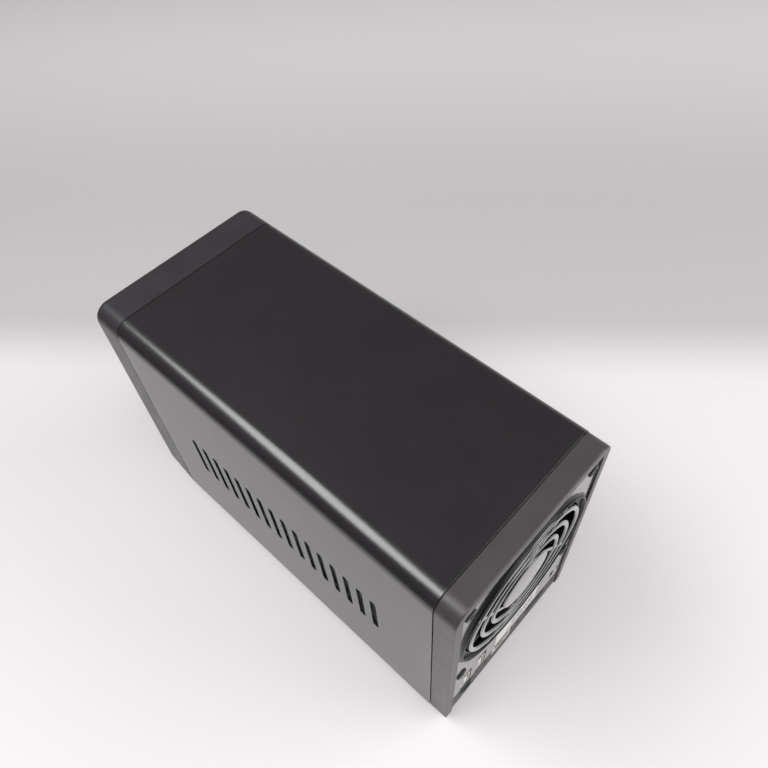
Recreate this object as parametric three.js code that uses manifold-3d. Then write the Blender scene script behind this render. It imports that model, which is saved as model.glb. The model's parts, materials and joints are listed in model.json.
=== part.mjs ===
// A two-bay desktop network storage box: a folded steel sleeve between a plastic front bezel and a plastic
// rear frame, with two drive trays, a rear fan behind a ring guard, and the boards and sockets inside.
// Millimetres. The origin is the centre of the footprint on the desk: +X right seen from the front,
// +Y to the rear, +Z up.
import * as THREE from "three";
import { mergeVertices } from "three/addons/utils/BufferGeometryUtils.js";
import Module from "manifold-3d";

// ---- driving dimensions -------------------------------------------------------------------------------
const WIDTH = 103.5;
const DEPTH = 232;
const HEIGHT = 157;
const FOOT_HEIGHT = 5.5; // the sleeve's lower edges stand this far above the desk
const EDGE_RADIUS = 9; // the two long upper edges of the sleeve
const SHEET = 1; // thickness of the sleeve, the pan and the rear panel
const OVERCUT = 1; // how far a cutting tool runs past the face it opens
const FIT_GAP = 0.3; // clearance between pieces that slide into each other

const FRONT = -DEPTH / 2;
const REAR = DEPTH / 2;
const SLEEVE_FRONT = FRONT + 18.6;
const SLEEVE_REAR = REAR - 11.5;
const SEAM_GAP = 0.4;
const RIM_REAR = REAR - 0.7; // rear face of the rear frame
const LIP_THICKNESS = 0.8; // how far the rear panel sits inside that face
const PANEL_REAR = RIM_REAR - LIP_THICKNESS;
const PANEL_FRONT = PANEL_REAR - SHEET;
const PAN_TOP = FOOT_HEIGHT + SHEET;

const FAN_SIZE = 92;
const FAN_DEPTH = 25;
const FAN_SCREW_SPACING = 82.5;
const FAN_CENTRE_Z = 101.8;
const FAN_BORE_RADIUS = 43.2;
const FAN_REAR = PANEL_FRONT;
const FAN_FRONT = FAN_REAR - FAN_DEPTH;

const TRAY_PITCH = 33.6;
const TRAY_CENTRES = [-30.8, -30.8 + TRAY_PITCH];
const TRAY_FACE_WIDTH = 33;
const TRAY_FACE_BOTTOM = 25;
const TRAY_FACE_TOP = 150.4;
const TRAY_FACE_FRONT = FRONT + 1;
const TRAY_FACE_REAR = FRONT + 16;
const DRIVE_THICKNESS = 26.1;
const DRIVE_HEIGHT = 101.6;
const DRIVE_LENGTH = 147;
const DRIVE_FRONT = -80;
const DRIVE_BOTTOM = 37.2;
const CADDY_WIDTH = 30;
const CADDY_REAR = 66;

const COLUMN_X = 34.5; // centre line of the column of lights, socket and buttons
const BOARD_BOTTOM = 11;
const BOARD_THICKNESS = 1.6;
const BOARD_TOP = BOARD_BOTTOM + BOARD_THICKNESS;
const BACKPLANE_FRONT = 72;

const FINE = 36; // sides of a large circle
const COARSE = 20; // sides of a small circle

// ---- solids -------------------------------------------------------------------------------------------
const wasm = await Module();
wasm.setup();

// A closed three.js geometry as a solid that can be joined and cut.
function solid(geometry) {
  const bare = geometry.clone();
  bare.deleteAttribute("normal");
  bare.deleteAttribute("uv");
  const merged = mergeVertices(bare, 1e-4);
  const vertProperties = new Float32Array(merged.attributes.position.array);
  const triVerts = new Uint32Array(merged.index.array);
  return new wasm.Manifold(new wasm.Mesh({ numProp: 3, vertProperties, triVerts }));
}

// A solid as a flat-shaded three.js geometry.
function geometryOf(made) {
  const mesh = made.getMesh();
  const geometry = new THREE.BufferGeometry();
  geometry.setAttribute("position", new THREE.BufferAttribute(new Float32Array(mesh.vertProperties), 3));
  geometry.setIndex(new THREE.BufferAttribute(new Uint32Array(mesh.triVerts), 1));
  const flat = geometry.toNonIndexed();
  flat.computeVertexNormals();
  return flat;
}

function box(x0, x1, y0, y1, z0, z1) {
  const geometry = new THREE.BoxGeometry(x1 - x0, y1 - y0, z1 - z0);
  geometry.translate((x0 + x1) / 2, (y0 + y1) / 2, (z0 + z1) / 2);
  return solid(geometry);
}

// A box given by its centre line in X, which most pieces here share.
function centredBox(x, width, y0, y1, z0, z1) {
  return box(x - width / 2, x + width / 2, y0, y1, z0, z1);
}

function cylinderX(radius, x0, x1, y, z, sides = COARSE) {
  const geometry = new THREE.CylinderGeometry(radius, radius, x1 - x0, sides);
  geometry.rotateZ(Math.PI / 2);
  geometry.translate((x0 + x1) / 2, y, z);
  return solid(geometry);
}

function cylinderY(radius, y0, y1, x, z, sides = COARSE) {
  const geometry = new THREE.CylinderGeometry(radius, radius, y1 - y0, sides);
  geometry.translate(x, (y0 + y1) / 2, z);
  return solid(geometry);
}

function cylinderZ(radius, z0, z1, x, y, sides = COARSE) {
  const geometry = new THREE.CylinderGeometry(radius, radius, z1 - z0, sides);
  geometry.rotateX(Math.PI / 2);
  geometry.translate(x, y, (z0 + z1) / 2);
  return solid(geometry);
}

// A profile of [radius, y] points turned about the line along Y through (x, z).
function turnedY(profile, x, z, sides = FINE) {
  const points = profile.map(([radius, y]) => new THREE.Vector2(radius, y));
  if (THREE.ShapeUtils.area(points) < 0) {
    points.reverse(); // the profile must run anticlockwise for its faces to point out
  }
  points.push(points[0].clone());
  const geometry = new THREE.LatheGeometry(points, sides);
  geometry.translate(x, 0, z);
  return solid(geometry);
}

// A shape drawn in X and Z, pushed along Y from y0 to y1.
function extrudedY(shape, y0, y1, curveSegments = 4) {
  const geometry = new THREE.ExtrudeGeometry(shape, { depth: y1 - y0, bevelEnabled: false, curveSegments });
  geometry.rotateX(Math.PI / 2);
  geometry.translate(0, y1, 0);
  return solid(geometry);
}

// A shape drawn in Y and Z, pushed along X from x0 to x1.
function extrudedX(shape, x0, x1, curveSegments = 4) {
  const geometry = new THREE.ExtrudeGeometry(shape, { depth: x1 - x0, bevelEnabled: false, curveSegments });
  geometry.rotateX(Math.PI / 2);
  geometry.rotateZ(Math.PI / 2);
  geometry.translate(x0, 0, 0);
  return solid(geometry);
}

function joined(solids) {
  return solids.reduce((whole, piece) => whole.add(piece));
}

function cut(body, tools) {
  return tools.reduce((rest, tool) => rest.subtract(tool), body);
}

// ---- shapes -------------------------------------------------------------------------------------------
// The case's section, drawn in by an inset: straight sides, two rounded upper corners, an open bottom edge.
function caseSection(inset, bottom) {
  const half = WIDTH / 2 - inset;
  const top = HEIGHT - inset;
  const radius = EDGE_RADIUS - Math.min(inset, 4);
  const shape = new THREE.Shape();
  shape.moveTo(-half, bottom);
  shape.lineTo(half, bottom);
  shape.lineTo(half, top - radius);
  shape.absarc(half - radius, top - radius, radius, 0, Math.PI / 2);
  shape.lineTo(-half + radius, top);
  shape.absarc(-half + radius, top - radius, radius, Math.PI / 2, Math.PI);
  shape.closePath();
  return shape;
}

function roundedRectangle(x0, x1, z0, z1, radius) {
  const shape = new THREE.Shape();
  shape.moveTo(x0 + radius, z0);
  shape.lineTo(x1 - radius, z0);
  shape.absarc(x1 - radius, z0 + radius, radius, -Math.PI / 2, 0);
  shape.lineTo(x1, z1 - radius);
  shape.absarc(x1 - radius, z1 - radius, radius, 0, Math.PI / 2);
  shape.lineTo(x0 + radius, z1);
  shape.absarc(x0 + radius, z1 - radius, radius, Math.PI / 2, Math.PI);
  shape.lineTo(x0, z0 + radius);
  shape.absarc(x0 + radius, z0 + radius, radius, Math.PI, Math.PI * 1.5);
  return shape;
}

function polygon(points) {
  return new THREE.Shape(points.map(([x, y]) => new THREE.Vector2(x, y)));
}

// ---- placing ------------------------------------------------------------------------------------------
const device = new THREE.Group();

const FINISHES = {
  powderCoat: { color: 0x26262a, roughness: 0.55, metalness: 0.2 },
  blackPlastic: { color: 0x2c2c2e, roughness: 0.5, metalness: 0 },
  glossPlastic: { color: 0x0c0c0e, roughness: 0.15, metalness: 0 },
  blackSteel: { color: 0x1c1c1e, roughness: 0.3, metalness: 0.4 },
  zincSteel: { color: 0xb4b8ba, roughness: 0.4, metalness: 0.9 },
  nickel: { color: 0xc8c8c6, roughness: 0.3, metalness: 1 },
  castAluminium: { color: 0xa4a7aa, roughness: 0.5, metalness: 0.9 },
  darkAluminium: { color: 0x3a3d42, roughness: 0.5, metalness: 0.8 },
  boardGreen: { color: 0x1d4a2c, roughness: 0.6, metalness: 0 },
  whitePlastic: { color: 0xf0efe9, roughness: 0.4, metalness: 0 },
  clearPlastic: { color: 0xd5e2dc, roughness: 0.2, metalness: 0 },
  rubber: { color: 0x18181a, roughness: 0.9, metalness: 0 },
  label: { color: 0xecebe6, roughness: 0.6, metalness: 0 },
};

function place(name, made, finish, parent = device) {
  const mesh = new THREE.Mesh(geometryOf(made), new THREE.MeshStandardMaterial(FINISHES[finish]));
  mesh.name = name;
  parent.add(mesh);
}

// ---- casing -------------------------------------------------------------------------------------------
const VENT_SLOTS = 16;
const VENT_FIRST_Y = -61;
const VENT_PITCH = 8.7;
const VENT_WIDTH = 3.6;
const VENT_BOTTOM = 61;
const VENT_TOP = 94;
const VENT_END_RADIUS = VENT_WIDTH / 2 - 0.01;

// One row of upright round-ended slots, cut through both sides at once.
function ventSlots() {
  const slots = [];
  for (let i = 0; i < VENT_SLOTS; i += 1) {
    const y = VENT_FIRST_Y + i * VENT_PITCH;
    const left = y - VENT_WIDTH / 2;
    const outline = roundedRectangle(left, left + VENT_WIDTH, VENT_BOTTOM, VENT_TOP, VENT_END_RADIUS);
    slots.push(extrudedX(outline, -WIDTH, WIDTH, 1));
  }
  return slots;
}

function outerSleeve() {
  const outside = extrudedY(caseSection(0, FOOT_HEIGHT), SLEEVE_FRONT, SLEEVE_REAR, 5);
  const inside = extrudedY(caseSection(SHEET, 0), SLEEVE_FRONT - OVERCUT, SLEEVE_REAR + OVERCUT, 5);
  return cut(outside.subtract(inside), ventSlots());
}

const PAN_FRONT = -91.5;
const PAN_FLANGE_REAR = 98.5;
const PAN_FLANGE_TOP = 16;
const PAN_HALF = WIDTH / 2 - SHEET - FIT_GAP;
const PAN_REAR_TONGUE_HALF = 48;
const PAN_FRONT_TONGUE_HALF = 48.6;
const POST_RADIUS = 2.6;
const POST_SIDES = 12;
const POST_PLACES = [[-42, -55], [42, -55], [-42, 58], [42, 58]];
const PAN_SLOTS = 9;
const PAN_SLOT_HALF = 26;
const PAN_SLOT_FIRST_Y = -32;
const PAN_SLOT_PITCH = 8;
const PAN_SLOT_WIDTH = 3;

function basePan() {
  const low = FOOT_HEIGHT;
  const wide = box(-PAN_HALF, PAN_HALF, PAN_FRONT, PAN_FLANGE_REAR, low, PAN_TOP);
  const rearTongue = centredBox(0, 2 * PAN_REAR_TONGUE_HALF, PAN_FLANGE_REAR - OVERCUT, PANEL_FRONT - FIT_GAP,
    low, PAN_TOP);
  const frontTongue = centredBox(0, 2 * PAN_FRONT_TONGUE_HALF, BEZEL_REAR + FIT_GAP, PAN_FRONT + OVERCUT,
    low, PAN_TOP);
  const left = box(-PAN_HALF, -PAN_HALF + SHEET, PAN_FRONT, PAN_FLANGE_REAR, low, PAN_FLANGE_TOP);
  const right = box(PAN_HALF - SHEET, PAN_HALF, PAN_FRONT, PAN_FLANGE_REAR, low, PAN_FLANGE_TOP);
  const posts = POST_PLACES.map(([x, y]) => cylinderZ(POST_RADIUS, PAN_TOP - SHEET / 2, BOARD_BOTTOM, x, y,
    POST_SIDES));
  const slots = [];
  for (let i = 0; i < PAN_SLOTS; i += 1) {
    const y = PAN_SLOT_FIRST_Y + i * PAN_SLOT_PITCH;
    slots.push(box(-PAN_SLOT_HALF, PAN_SLOT_HALF, y, y + PAN_SLOT_WIDTH, 0, PAN_TOP + OVERCUT));
  }
  return cut(joined([wide, rearTongue, frontTongue, left, right, ...posts]), slots);
}

const FOOT_RADIUS = 8;
const FOOT_ROUNDING = 1.2;
const FOOT_SIDES = 24;
const FOOT_PLACES = [[-38, -78], [38, -78], [-38, 92], [38, 92]];

function foot(x, y) {
  const profile = [
    [0, 0],
    [FOOT_RADIUS - FOOT_ROUNDING, 0],
    [FOOT_RADIUS - FOOT_ROUNDING / 3, FOOT_ROUNDING * 0.7],
    [FOOT_RADIUS, FOOT_HEIGHT - FOOT_ROUNDING],
    [FOOT_RADIUS, FOOT_HEIGHT],
    [0, FOOT_HEIGHT],
  ];
  const geometry = new THREE.LatheGeometry(profile.map(([r, z]) => new THREE.Vector2(r, z)), FOOT_SIDES);
  geometry.rotateX(Math.PI / 2);
  geometry.translate(x, y, 0);
  return solid(geometry);
}

// ---- front bezel --------------------------------------------------------------------------------------
const BEZEL_REAR = SLEEVE_FRONT - SEAM_GAP;
const BEZEL_SOFTENING = 0.5; // how far the sides draw in at the front edge
const BEZEL_SOFT_DEPTH = 2.2;
const BEZEL_WALL = 2.4;
const BEZEL_SLOPE_FRONT = 20.5; // the underside rises to this height at the front
const SPIGOT_REAR = -92;
const OPENING_LEFT = -47.6;
const OPENING_RIGHT = 19.6;
const COLUMN_LEFT = 22;
const COLUMN_RIGHT = 48.6;
const COLUMN_FACE = 2.6;
const COLUMN_ROOM_BOTTOM = 27;
const COLUMN_ROOM_TOP = 149;
const SPIGOT_THICKNESS = 1.5;
const BEZEL_HOLLOW_BOTTOM = 12;
const BEYOND = 20; // how far a shape runs past a face that is trimmed afterwards

// The case's section pushed along Y with one softly drawn-in end, at y0.
function softEnded(y0, y1, inset, softening, softDepth) {
  const section = caseSection(inset + softening, -BEYOND);
  const geometry = new THREE.ExtrudeGeometry(section, {
    depth: y1 - y0 - softDepth + BEYOND,
    bevelEnabled: true,
    bevelThickness: softDepth,
    bevelSize: softening,
    bevelSegments: 4,
    curveSegments: 4,
  });
  geometry.rotateX(Math.PI / 2);
  geometry.translate(0, y1 + BEYOND, 0);
  return solid(geometry);
}

function slopeBelowBezel() {
  const margin = 1.5 * BEYOND;
  const rise = (BEZEL_SLOPE_FRONT - FOOT_HEIGHT) / (BEZEL_REAR - FRONT);
  return extrudedX(polygon([
    [FRONT - margin, BEZEL_SLOPE_FRONT + rise * margin],
    [FRONT - margin, -margin],
    [BEZEL_REAR + margin, -margin],
    [BEZEL_REAR + margin, FOOT_HEIGHT],
    [BEZEL_REAR, FOOT_HEIGHT],
  ]), -WIDTH, WIDTH);
}

const LIGHT_HEIGHTS = [140, 131, 122, 113];
const LIGHT_NAMES = ["status_light", "network_light", "disk_1_light", "disk_2_light"];
const LIGHT_WIDTH = 8;
const LIGHT_HEIGHT = 2.2;
const USB_WIDTH = 13.1;
const USB_HEIGHT = 5.9;
const FRONT_USB_Z = 56;
const COPY_BUTTON_Z = 70;
const COPY_BUTTON_WIDTH = 10;
const COPY_BUTTON_HEIGHT = 5;
const POWER_BUTTON_Z = 37;
const POWER_BUTTON_RADIUS = 6;
const BUTTON_GAP = 0.35;
const LIGHT_GAP = 0.2;
const COPY_CORNER_RADIUS = 2.4;
const COLUMN_HOLE_DEPTH = 8;

function columnHoles() {
  const y0 = FRONT - OVERCUT;
  const y1 = FRONT + COLUMN_HOLE_DEPTH;
  const lightHalf = LIGHT_HEIGHT / 2 + LIGHT_GAP;
  const lights = LIGHT_HEIGHTS.map((z) => centredBox(COLUMN_X, LIGHT_WIDTH + 2 * LIGHT_GAP, y0, y1,
    z - lightHalf, z + lightHalf));
  const usbHalf = USB_HEIGHT / 2 + FIT_GAP;
  const usb = centredBox(COLUMN_X, USB_WIDTH + 2 * FIT_GAP, y0, y1,
    FRONT_USB_Z - usbHalf, FRONT_USB_Z + usbHalf);
  const copyHalfWidth = COPY_BUTTON_WIDTH / 2 + BUTTON_GAP;
  const copyHalfHeight = COPY_BUTTON_HEIGHT / 2 + BUTTON_GAP;
  const copyHole = roundedRectangle(COLUMN_X - copyHalfWidth, COLUMN_X + copyHalfWidth,
    COPY_BUTTON_Z - copyHalfHeight, COPY_BUTTON_Z + copyHalfHeight, COPY_CORNER_RADIUS);
  const power = cylinderY(POWER_BUTTON_RADIUS + BUTTON_GAP, y0, y1, COLUMN_X, POWER_BUTTON_Z, FINE);
  return [...lights, usb, extrudedY(copyHole, y0, y1, 3), power];
}

function frontBezel() {
  const outside = softEnded(FRONT, BEZEL_REAR, 0, BEZEL_SOFTENING, BEZEL_SOFT_DEPTH)
    .intersect(box(-WIDTH, WIDTH, FRONT - OVERCUT, BEZEL_REAR, 0, HEIGHT + OVERCUT));
  const spigotInset = SHEET + FIT_GAP;
  const spigotOutside = extrudedY(caseSection(spigotInset, FOOT_HEIGHT), BEZEL_REAR - 2, SPIGOT_REAR);
  const spigotInside = extrudedY(caseSection(spigotInset + SPIGOT_THICKNESS, 0), BEZEL_REAR - 6,
    SPIGOT_REAR + OVERCUT);
  const hollowRear = extrudedY(caseSection(BEZEL_WALL + 1, BEZEL_HOLLOW_BOTTOM), BEZEL_REAR - 5,
    BEZEL_REAR + OVERCUT);
  const opening = box(OPENING_LEFT, OPENING_RIGHT, FRONT - BEYOND, BEZEL_REAR + BEYOND,
    TRAY_FACE_BOTTOM - FIT_GAP, TRAY_FACE_TOP + FIT_GAP);
  const column = box(COLUMN_LEFT, COLUMN_RIGHT, FRONT + COLUMN_FACE, BEZEL_REAR + BEYOND,
    COLUMN_ROOM_BOTTOM, COLUMN_ROOM_TOP);
  const shell = outside.subtract(hollowRear).add(spigotOutside.subtract(spigotInside));
  return cut(shell, [opening, column, slopeBelowBezel(), ...columnHoles()]);
}

// ---- rear frame and panel -----------------------------------------------------------------------------
const FRAME_INSET = 0.35; // the sleeve stands this far proud of the frame
const FRAME_FRONT = SLEEVE_REAR + SEAM_GAP;
const FRAME_SOFTENING = 0.4;
const FRAME_SOFT_DEPTH = 1.2;
const FRAME_WALL = 3;
const FRAME_SPIGOT_FRONT = 99;
const LIP_HALF = 46.6;
const LIP_TOP = 150.8;
const LIP_CORNER_RADIUS = 3.5;
const PANEL_HALF = 48.1;
const PANEL_TOP = 152.9;
const PANEL_BOTTOM = FOOT_HEIGHT;
const PANEL_CORNER_RADIUS = 5.4;

function mirroredInY(made) {
  return made.mirror([0, 1, 0]);
}

function rearFrame() {
  const softened = softEnded(-RIM_REAR, -FRAME_FRONT, FRAME_INSET, FRAME_SOFTENING, FRAME_SOFT_DEPTH);
  const outside = mirroredInY(softened)
    .intersect(box(-WIDTH, WIDTH, FRAME_FRONT, RIM_REAR + OVERCUT, FOOT_HEIGHT, HEIGHT + OVERCUT));
  const spigot = extrudedY(caseSection(SHEET + FIT_GAP, FOOT_HEIGHT), FRAME_SPIGOT_FRONT,
    FRAME_FRONT + SHEET);
  const inside = extrudedY(caseSection(FRAME_INSET + FRAME_WALL, -BEYOND), FRAME_SPIGOT_FRONT - OVERCUT,
    PANEL_REAR);
  const lipOutline = roundedRectangle(-LIP_HALF, LIP_HALF, -BEYOND, LIP_TOP, LIP_CORNER_RADIUS);
  const lipOpening = extrudedY(lipOutline, PANEL_REAR - OVERCUT, REAR + OVERCUT, 2);
  return cut(outside.add(spigot), [inside, lipOpening]);
}

const GUARD_HOLE_RADIUS = 45.4;
const USB_CENTRES = [36, 24.3];
const USB_SHELL_WIDTH = 7;
const USB_SHELL_HEIGHT = 14.4;
const USB_SHELL_BOTTOM = 26.5;
const INLET_X = 35;
const INLET_Z = 18.1;
const INLET_RADIUS = 5.4;
const RESET_X = 18.5;
const RESET_Z = 17;
const LAN_X = 5.2;
const LAN_WIDTH = 15.8;
const LAN_BOTTOM = 15.2;
const LAN_TOP = 28.8;
const ESATA_X = -25.1;
const ESATA_Z = 20.3;
const ESATA_WIDTH = 17;
const ESATA_HEIGHT = 6.6;
const LOCK_SLOT_X = -37;
const LOCK_SLOT_Z = 36;
const LOCK_SLOT_WIDTH = 3;
const LOCK_SLOT_HEIGHT = 7;
const PANEL_MARKS = [[-8.7, 29.7], [-9.4, 19.3], [-41.3, 20], [-42, 37]];
const PANEL_MARK_RADIUS = 1.2;
const SCREW_HOLE_RADIUS = 2.3;
const USB_WINDOW_TOP = 47;
const USB_WINDOW_GAP = 0.4;
const RESET_HOLE_RADIUS = 1.6;

function fanScrewPlaces() {
  const half = FAN_SCREW_SPACING / 2;
  return [[half, half], [-half, half], [-half, -half], [half, -half]].map(([x, z]) => [x, FAN_CENTRE_Z + z]);
}

// A window in the rear panel round a socket, with the same clearance on every side.
function socketWindow(x, width, z0, z1) {
  return centredBox(x, width + 2 * FIT_GAP, PANEL_FRONT - OVERCUT, PANEL_REAR + OVERCUT,
    z0 - FIT_GAP, z1 + FIT_GAP);
}

function rearPanel() {
  const y0 = PANEL_FRONT - OVERCUT;
  const y1 = PANEL_REAR + OVERCUT;
  const outline = roundedRectangle(-PANEL_HALF, PANEL_HALF, PANEL_BOTTOM, PANEL_TOP, PANEL_CORNER_RADIUS);
  const squareFeet = centredBox(0, 2 * PANEL_HALF, PANEL_FRONT, PANEL_REAR, PANEL_BOTTOM,
    PANEL_BOTTOM + 2 * PANEL_CORNER_RADIUS);
  const sheet = extrudedY(outline, PANEL_FRONT, PANEL_REAR, 3).add(squareFeet);
  const tools = [
    cylinderY(GUARD_HOLE_RADIUS, y0, y1, 0, FAN_CENTRE_Z, FINE),
    ...fanScrewPlaces().map(([x, z]) => cylinderY(SCREW_HOLE_RADIUS, y0, y1, x, z, COARSE)),
    ...USB_CENTRES.map((x) => centredBox(x, USB_SHELL_WIDTH + 2 * USB_WINDOW_GAP, y0, y1,
      USB_SHELL_BOTTOM - USB_WINDOW_GAP, USB_WINDOW_TOP)),
    cylinderY(INLET_RADIUS + FIT_GAP, y0, y1, INLET_X, INLET_Z, FINE),
    cylinderY(RESET_HOLE_RADIUS, y0, y1, RESET_X, RESET_Z, COARSE),
    socketWindow(LAN_X, LAN_WIDTH, LAN_BOTTOM, LAN_TOP),
    socketWindow(ESATA_X, ESATA_WIDTH, ESATA_Z - ESATA_HEIGHT / 2, ESATA_Z + ESATA_HEIGHT / 2),
    centredBox(LOCK_SLOT_X, LOCK_SLOT_WIDTH, y0, y1, LOCK_SLOT_Z - LOCK_SLOT_HEIGHT / 2,
      LOCK_SLOT_Z + LOCK_SLOT_HEIGHT / 2),
    ...PANEL_MARKS.map(([x, z]) => cylinderY(PANEL_MARK_RADIUS, y0, y1, x, z, COARSE)),
  ];
  return cut(sheet, tools);
}

const LABEL_THICKNESS = 0.2;
const LABEL_LEFT = -22;
const LABEL_RIGHT = 12.8;
const LABEL_BOTTOM = 31.5;
const LABEL_TOP = 60;

function rearLabel() {
  const outline = roundedRectangle(LABEL_LEFT, LABEL_RIGHT, LABEL_BOTTOM, LABEL_TOP, 1);
  const sheet = extrudedY(outline, PANEL_REAR, PANEL_REAR + LABEL_THICKNESS, 2);
  const collarRoom = cylinderY(GUARD_BASE_RADIUS + FIT_GAP, PANEL_REAR - OVERCUT, REAR,
    0, FAN_CENTRE_Z, FINE);
  return sheet.subtract(collarRoom);
}

// ---- fan ----------------------------------------------------------------------------------------------
const GUARD_TOP = REAR;
const GUARD_THICKNESS = 2.2;
const GUARD_RINGS = [23.2, 30.7, 38.6];
const GUARD_RING_HALF = 1.4;
const GUARD_ROUNDING = 0.7;
const GUARD_DISC_RADIUS = 16;
const GUARD_BASE_RADIUS = 46.3; // the collar's foot, on the panel
const GUARD_RIM_RADIUS = 45; // the collar's outer edge at the rear
const GUARD_RIM_WIDTH = 0.8;
const GUARD_FLANGE = 0.5; // thickness of the part that stands on the fan
const GUARD_FLANGE_INNER = 40.9;
const GUARD_SPOKES = 4;
const GUARD_SPOKE_WIDTH = 2.2;
const GUARD_SPOKE_TURN = 0.66; // radians
const GUARD_SPOKE_OFFSET = GUARD_DISC_RADIUS - 1.2;

// A flat ring with a softened rear face.
function guardRing(radius, half) {
  const base = GUARD_TOP - GUARD_THICKNESS;
  const shoulder = GUARD_TOP - GUARD_ROUNDING;
  const crown = GUARD_TOP - 0.1;
  return turnedY([
    [radius - half, base], [radius + half, base], [radius + half, shoulder],
    [radius + half * 0.4, crown], [radius - half * 0.4, crown], [radius - half, shoulder],
  ], 0, FAN_CENTRE_Z);
}

// The collar stands on the fan, passes through the panel's round hole and spreads out on the panel's face.
function guardCollar() {
  const flange = FAN_REAR + GUARD_FLANGE;
  const neck = GUARD_HOLE_RADIUS - FIT_GAP;
  const innerRim = GUARD_RIM_RADIUS - GUARD_RIM_WIDTH;
  return turnedY([
    [GUARD_FLANGE_INNER, FAN_REAR], [neck, FAN_REAR], [neck, PANEL_REAR], [GUARD_BASE_RADIUS, PANEL_REAR],
    [GUARD_RIM_RADIUS, GUARD_TOP - 0.2], [GUARD_RIM_RADIUS - 0.2, GUARD_TOP], [innerRim, GUARD_TOP],
    [innerRim - 0.4, flange], [GUARD_FLANGE_INNER, flange],
  ], 0, FAN_CENTRE_Z);
}

// Each spoke leaves the central disc along a tangent, so that the four form a pinwheel.
function guardSpoke(index) {
  const end = GUARD_RIM_RADIUS - GUARD_RIM_WIDTH;
  const reach = Math.sqrt(end ** 2 - GUARD_SPOKE_OFFSET ** 2);
  const thickness = GUARD_THICKNESS - 0.5;
  const geometry = new THREE.BoxGeometry(GUARD_SPOKE_WIDTH, thickness, reach);
  geometry.translate(GUARD_SPOKE_OFFSET, GUARD_TOP - thickness / 2 - 0.5, reach / 2);
  geometry.rotateY((index * Math.PI * 2) / GUARD_SPOKES + GUARD_SPOKE_TURN);
  geometry.translate(0, 0, FAN_CENTRE_Z);
  return solid(geometry);
}

function fanGuard() {
  const base = GUARD_TOP - GUARD_THICKNESS;
  const crown = GUARD_TOP - 0.1;
  const disc = turnedY([
    [0, base], [GUARD_DISC_RADIUS, base], [GUARD_DISC_RADIUS, GUARD_TOP - GUARD_ROUNDING],
    [GUARD_DISC_RADIUS - GUARD_ROUNDING, crown], [0, crown],
  ], 0, FAN_CENTRE_Z);
  const rings = GUARD_RINGS.map((radius) => guardRing(radius, GUARD_RING_HALF));
  const spokes = [];
  for (let i = 0; i < GUARD_SPOKES; i += 1) {
    spokes.push(guardSpoke(i));
  }
  return joined([guardCollar(), disc, ...rings, ...spokes]);
}

const MOTOR_RADIUS = 17;
const MOTOR_FRONT = FAN_REAR - 2.6;
const FAN_CORNER_RADIUS = 4;
const FAN_LUG_THICKNESS = 4; // the corner lugs at each end of the frame
const FAN_LUG_REACH = 14;
const FAN_BARREL_WALL = 1.6;
const FAN_HOLE_RADIUS = 2.2;
const FAN_STRUTS = 4;
const FAN_STRUT_WIDTH = 3;
const FAN_STRUT_DEPTH = 2;
const FAN_STRUT_TURN = 0.5; // radians

function fanStrut(index) {
  const reach = FAN_BORE_RADIUS + FAN_BARREL_WALL / 2;
  const geometry = new THREE.BoxGeometry(FAN_STRUT_WIDTH, FAN_STRUT_DEPTH, reach);
  geometry.translate(0, FAN_REAR - 1.4, reach / 2);
  geometry.rotateY((index * Math.PI * 2) / FAN_STRUTS + FAN_STRUT_TURN);
  geometry.translate(0, 0, FAN_CENTRE_Z);
  return solid(geometry);
}

function fanFrame() {
  const half = FAN_SIZE / 2;
  const outline = roundedRectangle(-half, half, FAN_CENTRE_Z - half, FAN_CENTRE_Z + half, FAN_CORNER_RADIUS);
  const block = extrudedY(outline, FAN_FRONT, FAN_REAR, 3);
  const bore = cylinderY(FAN_BORE_RADIUS, FAN_FRONT - OVERCUT, FAN_REAR + OVERCUT, 0, FAN_CENTRE_Z, FINE);
  const corners = fanScrewPlaces().map(([x, z]) => {
    const cx = x + Math.sign(x) * 2.5;
    const cz = z + Math.sign(z - FAN_CENTRE_Z) * 2.5;
    return centredBox(cx, FAN_LUG_REACH, FAN_FRONT + FAN_LUG_THICKNESS, FAN_REAR - FAN_LUG_THICKNESS,
      cz - FAN_LUG_REACH / 2, cz + FAN_LUG_REACH / 2);
  });
  const outer = FAN_BORE_RADIUS + FAN_BARREL_WALL;
  const barrel = turnedY([
    [FAN_BORE_RADIUS, FAN_FRONT], [outer, FAN_FRONT], [outer, FAN_REAR], [FAN_BORE_RADIUS, FAN_REAR],
  ], 0, FAN_CENTRE_Z);
  const holes = fanScrewPlaces().map(([x, z]) => cylinderY(FAN_HOLE_RADIUS, FAN_FRONT - OVERCUT,
    FAN_REAR + OVERCUT, x, z, COARSE));
  const struts = [];
  for (let i = 0; i < FAN_STRUTS; i += 1) {
    struts.push(fanStrut(i));
  }
  const motorBase = cylinderY(MOTOR_RADIUS, MOTOR_FRONT, FAN_REAR - 0.4, 0, FAN_CENTRE_Z, FINE);
  const whole = cut(block, [bore, ...corners]).add(barrel).add(joined([...struts, motorBase]));
  return cut(whole, holes);
}

const BLADES = 7;
const BLADE_THICKNESS = 1.6;
const BLADE_PITCH = 0.62; // radians
const BLADE_TIP = 42.2;
const BLADE_ROOT = 15;
const BLADE_HALF_CHORD = 10;
const HUB_RADIUS = 19.5;
const HUB_ROUNDING = 2;
const HUB_FRONT = FAN_FRONT + 3;
const HUB_REAR = MOTOR_FRONT - 0.5;

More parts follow.
